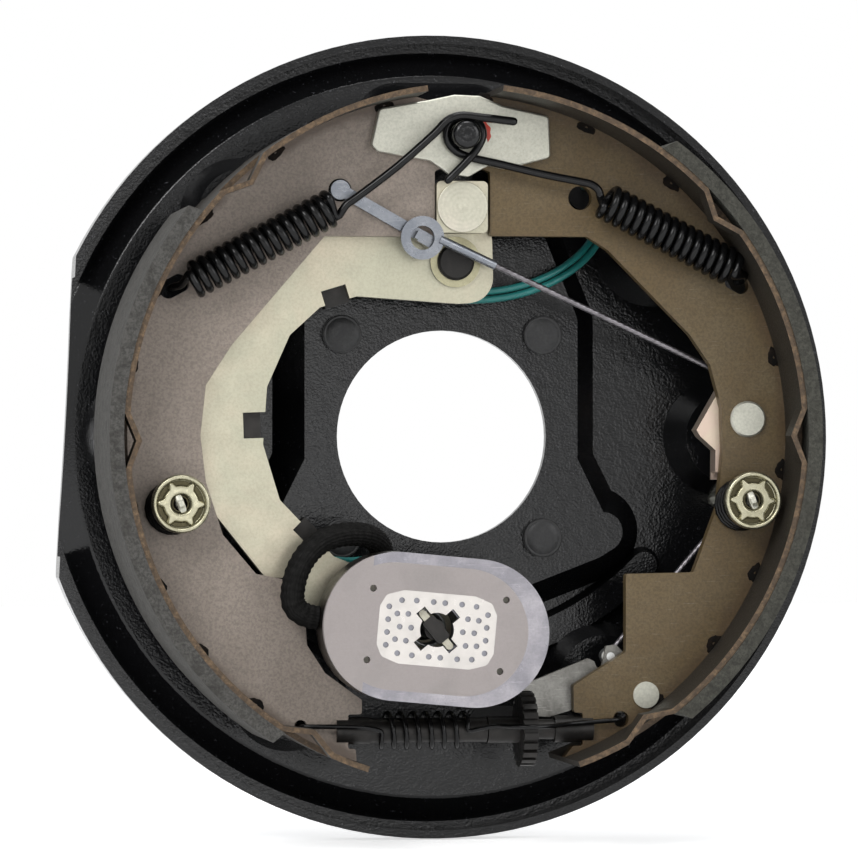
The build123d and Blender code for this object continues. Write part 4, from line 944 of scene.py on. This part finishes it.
SPRINGS = [
    CoilSpring(
        "primary_return_coil", "primary_shoe", "primary_return_spring",
        start=(-93.4, 52.9, 40.8), end=(-44.6, 78.8, 40.8), radius=5.35, wire=2.9, turns=16, phase=60,
        hook=[(-43.2, 75.2, 41.8), (-39.8, 79.6, 42.0), (-35.6, 82.6, 42.2), (-22.2, 92.9, 43.4),
              (-9.6, 104.2, 45.0), (-5.2, 108.8, 45.6), (-0.5, 110.6, 45.8), (4.6, 110.3, 45.8),
              (18.2, 108.8, 45.8)],
        tail=[(-96.4, 52.0, 39.4), (-98.8, 51.2, 35.8), (-99.4, 50.8, 30.0)],
        still=(-40.0, 80.0, 40.0), moved=(-92.0, 54.0, 40.0),
    ),
    CoilSpring(
        "secondary_return_coil", "secondary_shoe", "secondary_return_spring",
        start=(97.8, 58.2, 40.8), end=(51.4, 82.0, 40.8), radius=5.35, wire=2.9, turns=16, phase=60,
        hook=[(49.9, 82.6, 41.6), (49.0, 85.6, 41.6), (46.6, 87.5, 41.4), (42.6, 88.5, 41.0),
              (29.8, 90.9, 40.2), (14.9, 94.3, 39.5), (3.4, 96.9, 38.7), (-1.8, 99.6, 38.7),
              (-4.2, 103.8, 38.9), (-3.0, 108.4, 39.3), (2.2, 110.9, 40.0), (6.9, 108.6, 40.8),
              (8.2, 104.2, 41.5), (6.0, 99.4, 42.0), (2.0, 94.7, 42.2), (-4.2, 88.5, 42.2)],
        tail=[(101.4, 56.4, 39.0), (101.8, 55.0, 34.8), (101.0, 54.6, 30.0)],
        still=(48.0, 84.0, 40.0), moved=(97.0, 58.0, 40.0),
    ),
    CoilSpring(
        "adjuster_coil", "secondary_shoe", "adjuster_spring",
        start=(-27.0, -102.4, 31.5), end=(4.0, -102.4, 31.5), radius=5.95, wire=1.7, turns=7, phase=90,
        hook=[(8.0, -101.6, 38.4), (14.0, -100.8, 38.6), (20.4, -100.8, 45.4), (29.4, -100.8, 45.4),
              (41.0, -100.2, 37.6), (56.5, -99.2, 36.4), (58.2, -99.0, 33.6), (58.5, -99.0, 27.6)],
        tail=[(-31.0, -101.2, 37.6), (-36.0, -100.8, 37.4), (-52.5, -100.6, 36.2), (-54.3, -100.6, 33.6),
              (-54.5, -100.6, 27.6)],
        still=(8.0, -101.0, 38.0), moved=(56.0, -99.2, 36.0),
    ),
]


@dataclass
class HoldDowns:
    """Springs, notched cups and pin heads that hold both shoes to the plate, in millimetres."""

    spots: tuple[tuple[float, float], ...] = ((-97.5, -23.5), (103.0, -22.5))
    coil_radius: float = 8.5
    wire: float = 1.8
    turns: float = 4.5
    steps: int = 18
    low_level: float = 35.1
    high_level: float = 43.0
    lean: tuple[float, float] = (2.4, 1.8)
    cup_wall: float = 0.6
    hole_radius: float = 2.4
    floor_radius: float = 8.2
    rim: tuple[tuple[float, float], ...] = (
        (8.5, 46.6), (8.8, 47.4), (9.1, 47.6), (9.4, 47.5), (9.65, 47.1), (9.8, 46.4), (9.8, 44.8), (9.6, 43.4),
    )
    cavity_radius: float = 3.0
    star_radius: float = 5.7
    star_point: float = 2.2
    star_level: float = 44.4
    star_rise: float = 2.3
    star_fall: float = 1.9
    star_sharpness: int = 14
    cavity_slope: float = 1.1
    star_slope: float = 0.55
    head_turn: float = -70.0

    def cup(self, number: int, x: float, z: float) -> Piece:
        """Press a cup with a raised six-pointed star inside its rolled rim.

        The star's edge is at r_s(a) = R + p |cos(3 a + 0.1)|^14. Inside it the level is the star's, which
        falls to the middle cavity; outside it the level falls to the floor, as far as the rim.

        Args:
            number: the hold-down's number.
            x: its place to the right.
            z: its place up.

        Returns:
            The cup.
        """
        angle = np.linspace(0, 2 * np.pi, 180, endpoint=False)[None, :]
        rim_radius, rim_level = np.array(self.rim).T
        radius = np.concatenate([np.linspace(self.hole_radius, self.floor_radius, 30), rim_radius])[:, None]
        rim = np.concatenate([np.zeros(30), rim_level])[:, None]
        edge = self.star_radius + self.star_point * np.abs(np.cos(3 * angle + 0.1)) ** self.star_sharpness
        star = self.star_level + self.star_rise * smooth_step((radius - self.cavity_radius) / self.cavity_slope)
        level = np.where(rim > 0, rim, star - self.star_fall * smooth_step((radius - edge) / self.star_slope))
        across, up = radius * np.cos(angle), radius * np.sin(angle)
        cup = Surface.sheet(f"hold_down_cup_{number}", x + across, z + up, level)
        Surface.thicken(cup, self.cup_wall, 0)
        return cup

    def pin_head(self, number: int, x: float, z: float) -> Piece:
        """Flatten the pin's end to a slab with a smaller knob, both |u/a|^n + |v/b|^n = 1 in plan, domed.

        Args:
            number: the hold-down's number.
            x: its place to the right.
            z: its place up.

        Returns:
            The head.
        """
        angle = np.linspace(0, 2 * np.pi, 40, endpoint=False)
        slab, knob = rounded_box(angle, 3.3, 1.3, 0.5), rounded_box(angle, 1.1, 1.0, 0.3)
        share = np.array([0, 0, 0, 0, 0, 1, 1, 1, 1, 1])[:, None, None]
        turn = np.radians(self.head_turn)
        spin = np.array([[np.cos(turn), np.sin(turn)], [-np.sin(turn), np.cos(turn)]])
        level = np.array([42.6, 44.0, 45.6, 46.3, 46.5, 46.5, 47.2, 47.5, 47.6, 47.6])[:, None]
        shrink = np.array([0.9, 1.0, 1.0, 0.96, 0.85, 1.0, 1.0, 0.94, 0.8, 0.02])
        outline = (slab * (1 - share) + knob * share) * shrink[:, None, None] @ spin
        head = Surface.sheet(f"hold_down_head_{number}", x + outline[..., 0], z + outline[..., 1], level)
        Surface.face_out(head)
        return head

    def pin(self, number: int, x: float, z: float) -> Piece:
        """Turn a pin's shank and its round head behind the plate.

        Args:
            number: the hold-down's number.
            x: its place to the right.
            z: its place up.

        Returns:
            The pin.
        """
        back = 1000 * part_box("hold_down_pins")[1][1]
        return Surface.turned(
            f"hold_down_pin_{number}", x, z,
            [(0.0, -back), (3.2, -back), (3.9, 0.3 - back), (3.9, 0.9 - back), (3.2, 1.3 - back),
             (1.55, 1.6 - back), (1.55, 43.4), (1.2, 43.8), (0.0, 43.9)],
        )

    def coil(self, number: int, x: float, z: float) -> Piece:
        """Wind a coil whose axis leans a little from the plate to the cup.

        Args:
            number: the hold-down's number.
            x: its place to the right.
            z: its place up.

        Returns:
            The coil.
        """
        t = np.linspace(0, 1, int(self.turns * self.steps) + 1)
        angle = 2 * np.pi * self.turns * t
        level = self.low_level + (self.high_level - self.low_level) * t
        across = x - self.lean[0] * (1 - t) + self.coil_radius * np.cos(angle)
        up = z - self.lean[1] * (1 - t) + self.coil_radius * np.sin(angle)
        line = MM * np.stack([across, -level, up], -1)
        return Surface.tube(f"hold_down_coil_{number}", line, self.wire / 2 * MM, around=10)

    def build(self, dressing: "Dressing") -> None:
        """Make both hold-downs.

        Args:
            dressing: holds the finishes.
        """
        cups, springs, pins = [], [], []
        for number, (x, z) in enumerate(self.spots, 1):
            cups.append(self.cup(number, x, z))
            pins += [self.pin(number, x, z), self.pin_head(number, x, z)]
            springs.append(self.coil(number, x, z))
        for name, pieces, finish, node, slot in (
            ("hold_down_pin_pair", pins, "satin_zinc", "hold_down_pins", "zinc_silver"),
            ("hold_down_cup_pair", cups, "cup_zinc", "hold_down_cups", "zinc_gold"),
            ("hold_down_coil_pair", springs, "spring_enamel", "hold_down_springs", "spring_black"),
        ):
            piece = Surface.join(name, pieces)
            dressing.hang(piece, finish, "backing", slot)
            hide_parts(node)


@dataclass
class Leads:
    """Two magnet leads, from the sleeve behind the lever, through the plate and into a coil, in millimetres."""

    radius: float = 1.25
    spacing: float = 2.8
    coil_x: float = 70.0
    coil_z: float = 76.0
    coil_radius: float = 14.0
    coil_level: float = -28.9
    turn_gap: float = 2.75
    turns: float = 2.25
    bare_length: float = 8.0
    bare_radius: float = 0.72
    bare_ridge: float = 0.12
    points_a_turn: int = 12
    through_level: float = 7.0
    tie_half_width: float = 1.4
    tie_wall: float = 0.7
    tie_angle: float = 60.0

    def route(self) -> list[Spot]:
        """Return the middle line's control points as far as the coil.

        Returns:
            Points (x, z, level).
        """
        return [
            (-23.7, -43.8, 15.0), (-26.5, -44.6, 9.5), (-36.0, -45.4, 12.5), (-46.5, -43.5, 19.6),
            (-60.5, -31.5, 20.6), (-70.0, -17.5, 20.6), (-73.2, -2.0, 20.6), (-72.4, 13.0, 20.6),
            (-66.0, 29.0, 20.6), (-55.0, 43.0, 20.6), (-42.5, 54.4, 20.6), (-24.0, 54.2, 20.6),
            (-7.0, 49.4, 20.0), (10.0, 48.9, 18.0), (26.0, 51.0, 15.5), (41.0, 57.0, 12.5),
            (52.5, 66.0, 9.5), (58.5, 77.0, 6.0), (56.6, 87.5, 0.5), (56.0, 90.0, -8.0),
            (56.0, 90.0, -22.4), (56.0, 84.0, self.coil_level),
        ]

    def control(self, offset: float) -> Array:
        """Return one lead's control points: the route moved sideways, then the turns of the coil.

        A turn's point at the angle q is C + (R + offset) (cos q, sin q), and its level falls by a gap each
        turn.

        Args:
            offset: how far the lead lies beside the middle line.

        Returns:
            (n, 3) points in metres.
        """
        route = np.array(self.route())
        run = np.empty((len(route), 2))
        run[1:-1] = route[2:, :2] - route[:-2, :2]
        run[0], run[-1] = route[1, :2] - route[0, :2], route[-1, :2] - route[-2, :2]
        length = np.linalg.norm(run, axis=1, keepdims=True)
        side = np.stack([-run[:, 1], run[:, 0]], -1) / np.maximum(length, 1e-6)
        side[:2] = (0.0, -1.0)
        side[route[:, 2] < self.through_level] = (-1.0, 0.0)
        along = places([(x + offset * a, z + offset * b, y) for (x, z, y), (a, b) in zip(route, side)])
        turn = np.arange(0.0, self.turns + 1e-6, 1 / self.points_a_turn)
        angle = np.pi + 2 * np.pi * turn
        reach = self.coil_radius + offset
        level = self.coil_level - self.turn_gap * turn
        across, up = self.coil_x + reach * np.cos(angle), self.coil_z + reach * np.sin(angle)
        around = np.stack([across, -level, up], -1)
        return np.vstack([along, around * MM])

    def tie(self, dressing: "Dressing") -> None:
        """Band round the coil's turns: a flat loop, |u/a|^6 + |v/b|^6 = 1 in section, as wide as two leads.

        Args:
            dressing: holds the finishes.
        """
        u, v = rounded_box(np.linspace(0, 2 * np.pi, 48, endpoint=False), 3.0, 2.95, 1 / 3).T
        where = np.radians(self.tie_angle)
        across = self.tie_half_width * np.array([-1.0, 1.0])[:, None]
        middle = self.coil_level - self.turn_gap * (1 + self.tie_angle / 360)
        reach = self.coil_radius + u
        x = self.coil_x + reach * np.cos(where) - across * np.sin(where)
        z = self.coil_z + reach * np.sin(where) + across * np.cos(where)
        band = Surface.sheet("lead_tie", x, z, middle + v)
        Surface.thicken(band, self.tie_wall, 1)
        dressing.hang(band, "black_rubber", "backing", "rubber_black")

    def build(self, dressing: "Dressing") -> None:
        """Make both leads with their bare ends.

        Args:
            dressing: holds the finishes.
        """
        for number, offset in ((1, self.spacing / 2), (2, -self.spacing / 2)):
            line = Surface.spline(self.control(offset))
            lead = Surface.tube(f"lead_{number}", line, self.radius * MM, around=12, round_ends=False)
            dressing.paint(lead, "teal_insulation")
            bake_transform(lead)
            way = line[-1] - line[-2]
            way /= np.linalg.norm(way)
            core = line[-1] + way * np.linspace(-1.0, self.bare_length, 28)[:, None] * MM
            angle = np.linspace(0, 2 * np.pi, 24, endpoint=False)
            twist = np.cos(3 * angle[None, :] + np.linspace(0, 9, 28)[:, None])
            ridges = self.bare_radius + self.bare_ridge * np.abs(twist)
            bare = Surface.wrapped(f"lead_{number}_bare_end", core, ridges * MM)
            dressing.hang(bare, "copper_winding", "backing", "copper")
            if number == 1:
                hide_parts("magnet_lead_1", "lead_coil")
            else:
                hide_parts("magnet_lead_2")
            length = float(np.linalg.norm(np.diff(line, axis=0), axis=1).sum())
            LOG.info("lead %d is %.3f m long", number, length)
        self.tie(dressing)


@dataclass
class Sleeve:
    """Braided sleeve from the magnet's end over the lever, in millimetres."""

    radius: float = 4.0
    weave: float = 0.3
    yarns: int = 11
    lay: float = 5.2
    step: float = 0.45

    def route(self) -> list[Spot]:
        """Return the sleeve's control points.

        Returns:
            Points (x, z, level).
        """
        return [
            (-49.8, -62.8, 43.6), (-59.1, -61.8, 43.6), (-58.2, -47.8, 43.4), (-51.0, -37.2, 42.6),
            (-40.5, -33.6, 40.0), (-29.5, -34.6, 34.5), (-24.2, -40.0, 25.0), (-23.8, -43.5, 16.7),
        ]

    def build(self, dressing: "Dressing") -> None:
        """Weave the sleeve: r = R + w cos(n a + k s) cos(n a - k s), two crossing sets of yarns.

        Args:
            dressing: holds the finishes.
        """
        line = Surface.even(Surface.spline(places(self.route()), 24), self.step * MM)
        along = np.arange(len(line)) * self.step
        angle = np.linspace(0, 2 * np.pi, 8 * self.yarns, endpoint=False)
        first = self.yarns * angle[None, :] + 2 * np.pi * along[:, None] / self.lay
        second = self.yarns * angle[None, :] - 2 * np.pi * along[:, None] / self.lay
        radii = self.radius + self.weave * np.cos(first) * np.cos(second)
        sleeve = Surface.wrapped("woven_sleeve", line, radii * MM)
        dressing.paint(sleeve, "black_yarn")
        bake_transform(sleeve)
        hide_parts("braided_sleeve")


@dataclass
class PullCable:
    """Twisted steel cable from the eyelet round its guide to the adjusting lever, in millimetres."""

    radius: float = 0.92
    strand: float = 0.16
    lay: float = 7.5
    step: float = 0.6

    def route(self) -> list[Spot]:
        """Return the cable's control points: down to its guide, round it, and on to the adjusting lever.

        Returns:
            Points (x, z, level).
        """
        return [
            (13.5, 59.3, 35.6), (92.0, 24.4, 25.6), (112.5, 15.3, 23.0), (112.5, -11.8, 23.0),
            (107.3, -17.8, 23.0), (57.6, -75.1, 23.0),
        ]

    def build(self, dressing: "Dressing") -> None:
        """Twist six strands: r = R + d |cos(3 a + k s)|.

        Args:
            dressing: holds the finishes.
        """
        line = Surface.even(Surface.spline(places(self.route()), 30), self.step * MM)
        along = np.arange(len(line)) * self.step
        angle = np.linspace(0, 2 * np.pi, 36, endpoint=False)
        lobes = np.abs(np.cos(3 * angle[None, :] + np.pi * along[:, None] / self.lay * 3))
        cable = Surface.wrapped("twisted_cable", line, (self.radius + self.strand * lobes) * MM)
        dressing.paint(cable, "bright_wire")
        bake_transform(cable)
        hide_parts("adjuster_cable")


@dataclass
class Welds:
    """Brown weld beads where each web meets its table, in millimetres and degrees from +X."""

    reach: float = 118.0
    level: float = 33.9
    length: float = 7.0
    width: float = 4.0
    height: float = 0.35
    primary_shift: float = 2.6
    secondary_shift: float = -1.4
    primary: tuple[float, ...] = (103.7, 124.0, 140.0, 154.2, 168.0, 192.0, 206.0, 219.0, 232.0)
    secondary: tuple[float, ...] = (84.6, 66.2, 48.7, 30.0, 13.6, -5.7, -24.0, -38.0, -52.0)

    def bead(self, name: str, shift: float, angle: float) -> Piece:
        """Swell a low half egg along the web's edge: its half axes shrink as the square root of 1 - h^2.

        Args:
            name: the bead's name.
            shift: how far right its arc's middle lies.
            angle: its place on the arc, in degrees.

        Returns:
            The bead, open underneath and by a small hole on top.
        """
        rise = np.array([-0.3, 0.0, 0.35, 0.65, 0.88, 0.99])
        shrink = np.sqrt(1 - np.minimum(np.abs(rise), 0.995) ** 2)
        turn = np.linspace(0, 2 * np.pi, 20, endpoint=False)
        ragged = 1 + 0.12 * np.sin(3 * turn + angle) + 0.07 * np.sin(7 * turn + 2 * angle)
        along = self.length / 2 * shrink[:, None] * (np.cos(turn) * ragged)[None, :]
        out = self.width / 2 * shrink[:, None] * (np.sin(turn) * ragged)[None, :]
        way = np.radians(angle)
        x = shift + (self.reach + out) * np.cos(way) - along * np.sin(way)
        z = (self.reach + out) * np.sin(way) + along * np.cos(way)
        return Surface.sheet(name, x, z, (self.level + self.height * rise)[:, None])

    def build(self, dressing: "Dressing") -> None:
        """Lay the beads of both shoes.

        Args:
            dressing: holds the finishes.
        """
        for side, shift, angles in (
            ("primary", self.primary_shift, self.primary), ("secondary", self.secondary_shift, self.secondary)
        ):
            beads = [self.bead(f"{side}_bead_{i}", shift, angle) for i, angle in enumerate(angles)]
            piece = Surface.join(f"{side}_weld_beads", beads)
            Surface.face_out(piece)
            dressing.hang(piece, "burnt_weld", f"{side}_shoe", "table_paint")


@dataclass
class Heads:
    """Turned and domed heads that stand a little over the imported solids, in millimetres."""

    cam: tuple[float, float] = (1.9, 79.6)
    anchor: tuple[float, float] = (1.8, 104.2)
    stud: float = 36.0
    dab_middle: float = 12.0
    dab_half_angle: float = 26.0
    dab_reach: float = 9.2
    dab_level: float = 36.62
    dab_height: float = 0.18

    def cam_head(self, dressing: "Dressing") -> None:
        """Turn the cam pin's wide flat head, with a fine groove inside its edge.

        Args:
            dressing: holds the finishes.
        """
        head = Surface.turned(
            "cam_pin_head", *self.cam,
            [(8.85, 35.95), (8.9, 36.55), (8.8, 36.74), (8.55, 36.8), (7.5, 36.82), (5.0, 36.83), (2.5, 36.84),
             (0.8, 36.84), (0.4, 36.72), (0.0, 36.7)],
        )
        dressing.hang(head, "turned_zinc", "cam", "zinc_gold")

    def anchor_cap(self, dressing: "Dressing") -> None:
        """Turn the post's rounded end inside the springs' loops.

        Args:
            dressing: holds the finishes.
        """
        cap = Surface.turned(
            "anchor_cap", *self.anchor,
            [(4.9, 41.0), (5.0, 45.6), (4.8, 46.5), (4.2, 47.2), (3.2, 47.6), (2.4, 47.65), (1.8, 47.5),
             (1.2, 47.65), (0.5, 47.7), (0.0, 47.7)],
        )
        dressing.hang(cap, "gloss_black_enamel", "backing", "dark_steel")

    def stud_heads(self, dressing: "Dressing") -> None:
        """Turn a face with a fine groove for each stud's head.

        Args:
            dressing: holds the finishes.
        """
        level = -1000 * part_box("mounting_studs")[0][1]
        section = [
            (6.7, level - 0.6), (6.8, level + 0.1), (6.6, level + 0.3), (6.1, level + 0.34),
            (5.9, level + 0.16), (5.7, level + 0.34), (3.0, level + 0.36), (0.0, level + 0.36),
        ]
        corners = [(a * self.stud, b * self.stud) for a in (-1, 1) for b in (-1, 1)]
        heads = Surface.join(
            "stud_head_faces", [Surface.turned(f"stud_{i}", x, z, section) for i, (x, z) in enumerate(corners)]
        )
        dressing.hang(heads, "stud_enamel", "backing", "dark_steel")

    def paint_dab(self, dressing: "Dressing") -> None:
        """Lay a thin crescent of paint, 1 - t^2 wide each way, a little ragged, on an arc about the post.

        Args:
            dressing: holds the finishes.
        """
        t = np.linspace(-1, 1, 24)[:, None]
        s = np.linspace(-1, 1, 9)[None, :]
        angle = np.radians(self.dab_middle + self.dab_half_angle * t)
        reach = self.dab_reach + s * (1 - t**2) * (1 + 0.25 * np.sin(9 * t))
        level = self.dab_level + self.dab_height * np.sqrt(np.clip((1 - t**2) * (1 - s**2), 0, 1))
        x, z = self.anchor
        across, up = reach * np.cos(angle), reach * np.sin(angle)
        dab = Surface.sheet("paint_dab", x + across, z + up, level, wrap=False)
        dressing.hang(dab, "red_paint", "backing", "zinc_silver")

    def build(self, dressing: "Dressing") -> None:
        """Make all heads.

        Args:
            dressing: holds the finishes.
        """
        self.cam_head(dressing)
        self.anchor_cap(dressing)
        self.stud_heads(dressing)
        self.paint_dab(dressing)


@dataclass
class Studio:
    """White room, soft lamps and the camera at the photograph's angle. Places are in metres."""

    aim: Spot = (-0.003964, 0.0, 0.001616)
    towards_eye: Spot = (-0.16159, -0.98682, -0.00873)
    distance: float = 1.7
    lens: float = 199.63
    lamps: tuple[tuple[str, Spot, float, float], ...] = (
        ("key_lamp", (-1.3, -1.9, 1.5), 1.1, 34.0),
        ("fill_lamp", (1.6, -1.7, 0.7), 1.2, 16.0),
        ("top_lamp", (0.1, -0.5, 2.2), 1.0, 20.0),
        ("front_lamp", (0.16, -2.1, -0.02), 0.36, 1.3),
    )
    room_colour: Colour = (0.95, 0.97, 1.0)
    room_strength: float = 0.42
    floor_drop: float = 0.0004
    floor_reach: float = 3.0
    floor_glow: float = 0.62

    @staticmethod
    def stand(name: str, data: bpy.types.ID, spot: Vector, aim: Vector) -> Piece:
        """Put a camera or a lamp at a spot, looking at a point.

        Args:
            name: the object's name.
            data: the camera's or lamp's data.
            spot: where it stands.
            aim: the point it looks at.

        Returns:
            The new object.
        """
        piece = bpy.data.objects.new(name, data)
        piece.location = spot
        piece.rotation_euler = (aim - spot).to_track_quat("-Z", "Y").to_euler()
        bpy.context.scene.collection.objects.link(piece)
        return piece

    def camera(self) -> None:
        """Stand the camera where the photograph was taken."""
        data = bpy.data.cameras.new("photo_camera")
        data.lens = self.lens
        data.sensor_width = 36.0
        data.clip_start = 0.1
        data.clip_end = 20.0
        aim = Vector(self.aim)
        eye = aim + self.distance * Vector(self.towards_eye)
        bpy.context.scene.camera = self.stand("photo_camera", data, eye, aim)

    def lamp(self, name: str, spot: Spot, size: float, power: float) -> None:
        """Hang a square soft lamp that looks at the brake.

        Args:
            name: the lamp's name.
            spot: where it hangs.
            size: its side in metres.
            power: its power in watts.
        """
        data = bpy.data.lights.new(name, "AREA")
        data.shape = "SQUARE"
        data.size = size
        data.energy = power
        self.stand(name, data, Vector(spot), Vector((0, 0, 0)))

    @staticmethod
    def seen(graph: Graph) -> Socket:
        """Return 1 for rays of the camera, of gloss and of glass, and 0 for those that light a surface."""
        path = graph.node("LightPath").outputs
        direct = graph.math("MAXIMUM", path["Is Camera Ray"], path["Is Transmission Ray"])
        return graph.math("MAXIMUM", direct, path["Is Glossy Ray"])

    def world(self) -> None:
        """Fill the room with plain light that the camera sees as white."""
        world = bpy.data.worlds.new("white_room")
        bpy.context.scene.world = world
        world.use_nodes = True
        graph = Graph(world.node_tree)
        graph.tree.nodes.clear()
        room = graph.feed(graph.node("Background"), Color=(*self.room_colour, 1.0), Strength=self.room_strength)
        white = graph.feed(graph.node("Background"), Color=(1.0, 1.0, 1.0, 1.0), Strength=1.0)
        blend = graph.node("MixShader")
        for source, socket in zip((self.seen(graph), room.outputs[0], white.outputs[0]), blend.inputs):
            graph.join(source, socket)
        graph.join(blend.outputs[0], graph.node("OutputWorld").inputs[0])

    def floor(self) -> None:
        """Lay a plain pale floor under the brake's lowest point."""
        low, reach = CAD_BOX[0][2] - self.floor_drop, self.floor_reach
        points = np.array([(a * reach, b * reach, low) for a, b in ((-1, -1), (1, -1), (1, 1), (-1, 1))])
        floor = Surface.mesh("floor", points, [[0, 1, 2, 3]], smooth=False)
        material = bpy.data.materials.new("pale_floor")
        material.use_nodes = True
        graph = Graph(material.node_tree)
        tone = graph.mix(graph.noise(graph.where(), 3.0), (0.86, 0.86, 0.86), (0.9, 0.9, 0.9))
        shader = graph.feed(material.node_tree.nodes["Principled BSDF"], Base_Color=tone, Roughness=0.9)
        glow = graph.math("MULTIPLY", self.seen(graph), self.floor_glow)
        lit = graph.feed(graph.node("Emission"), Color=(1.0, 1.0, 1.0, 1.0), Strength=glow)
        both = graph.node("AddShader")
        graph.join(shader.outputs[0], both.inputs[0])
        graph.join(lit.outputs[0], both.inputs[1])
        graph.join(both.outputs[0], material.node_tree.nodes["Material Output"].inputs["Surface"])
        floor.data.materials.append(material)

    def build(self) -> None:
        """Set up the view, the lamps, the room and the floor."""
        bpy.context.scene.view_settings.view_transform = "Standard"
        self.camera()
        for lamp in self.lamps:
            self.lamp(*lamp)
        self.world()
        self.floor()


class Dressing:
    """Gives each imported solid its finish."""

    def __init__(self) -> None:
        """Build the effects and the materials."""
        effects = Effects()
        self.materials = {finish.name: finish.build(effects) for finish in FINISHES}

    def paint(self, piece: Piece, finish: str) -> None:
        """Put one finish on a piece."""
        piece.data.materials.clear()
        piece.data.materials.append(self.materials[finish])

    def hang(self, piece: Piece, finish: str, body: str, slot: str) -> None:
        """Paint a piece and hang it on one body.

        Args:
            piece: the piece.
            finish: the finish's name.
            body: the body's name.
            slot: not used.
        """
        self.paint(piece, finish)
        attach(piece, body)

    def nodes(self) -> None:
        """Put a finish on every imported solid."""
        for finish, names in NODES.items():
            for name in names:
                self.paint(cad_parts[name], finish)
            LOG.info("%s: %s", finish, ", ".join(names))


def main() -> None:
    """Build the room, dress the solids and add the finer pieces."""
    Studio().build()
    dressing = Dressing()
    dressing.nodes()
    for group in (Leads(), Sleeve(), PullCable(), Welds(), Heads(), HoldDowns(), *SPRINGS):
        group.build(dressing)
        LOG.info("%s built", type(group).__name__)


if __name__ == "__main__":
    main()
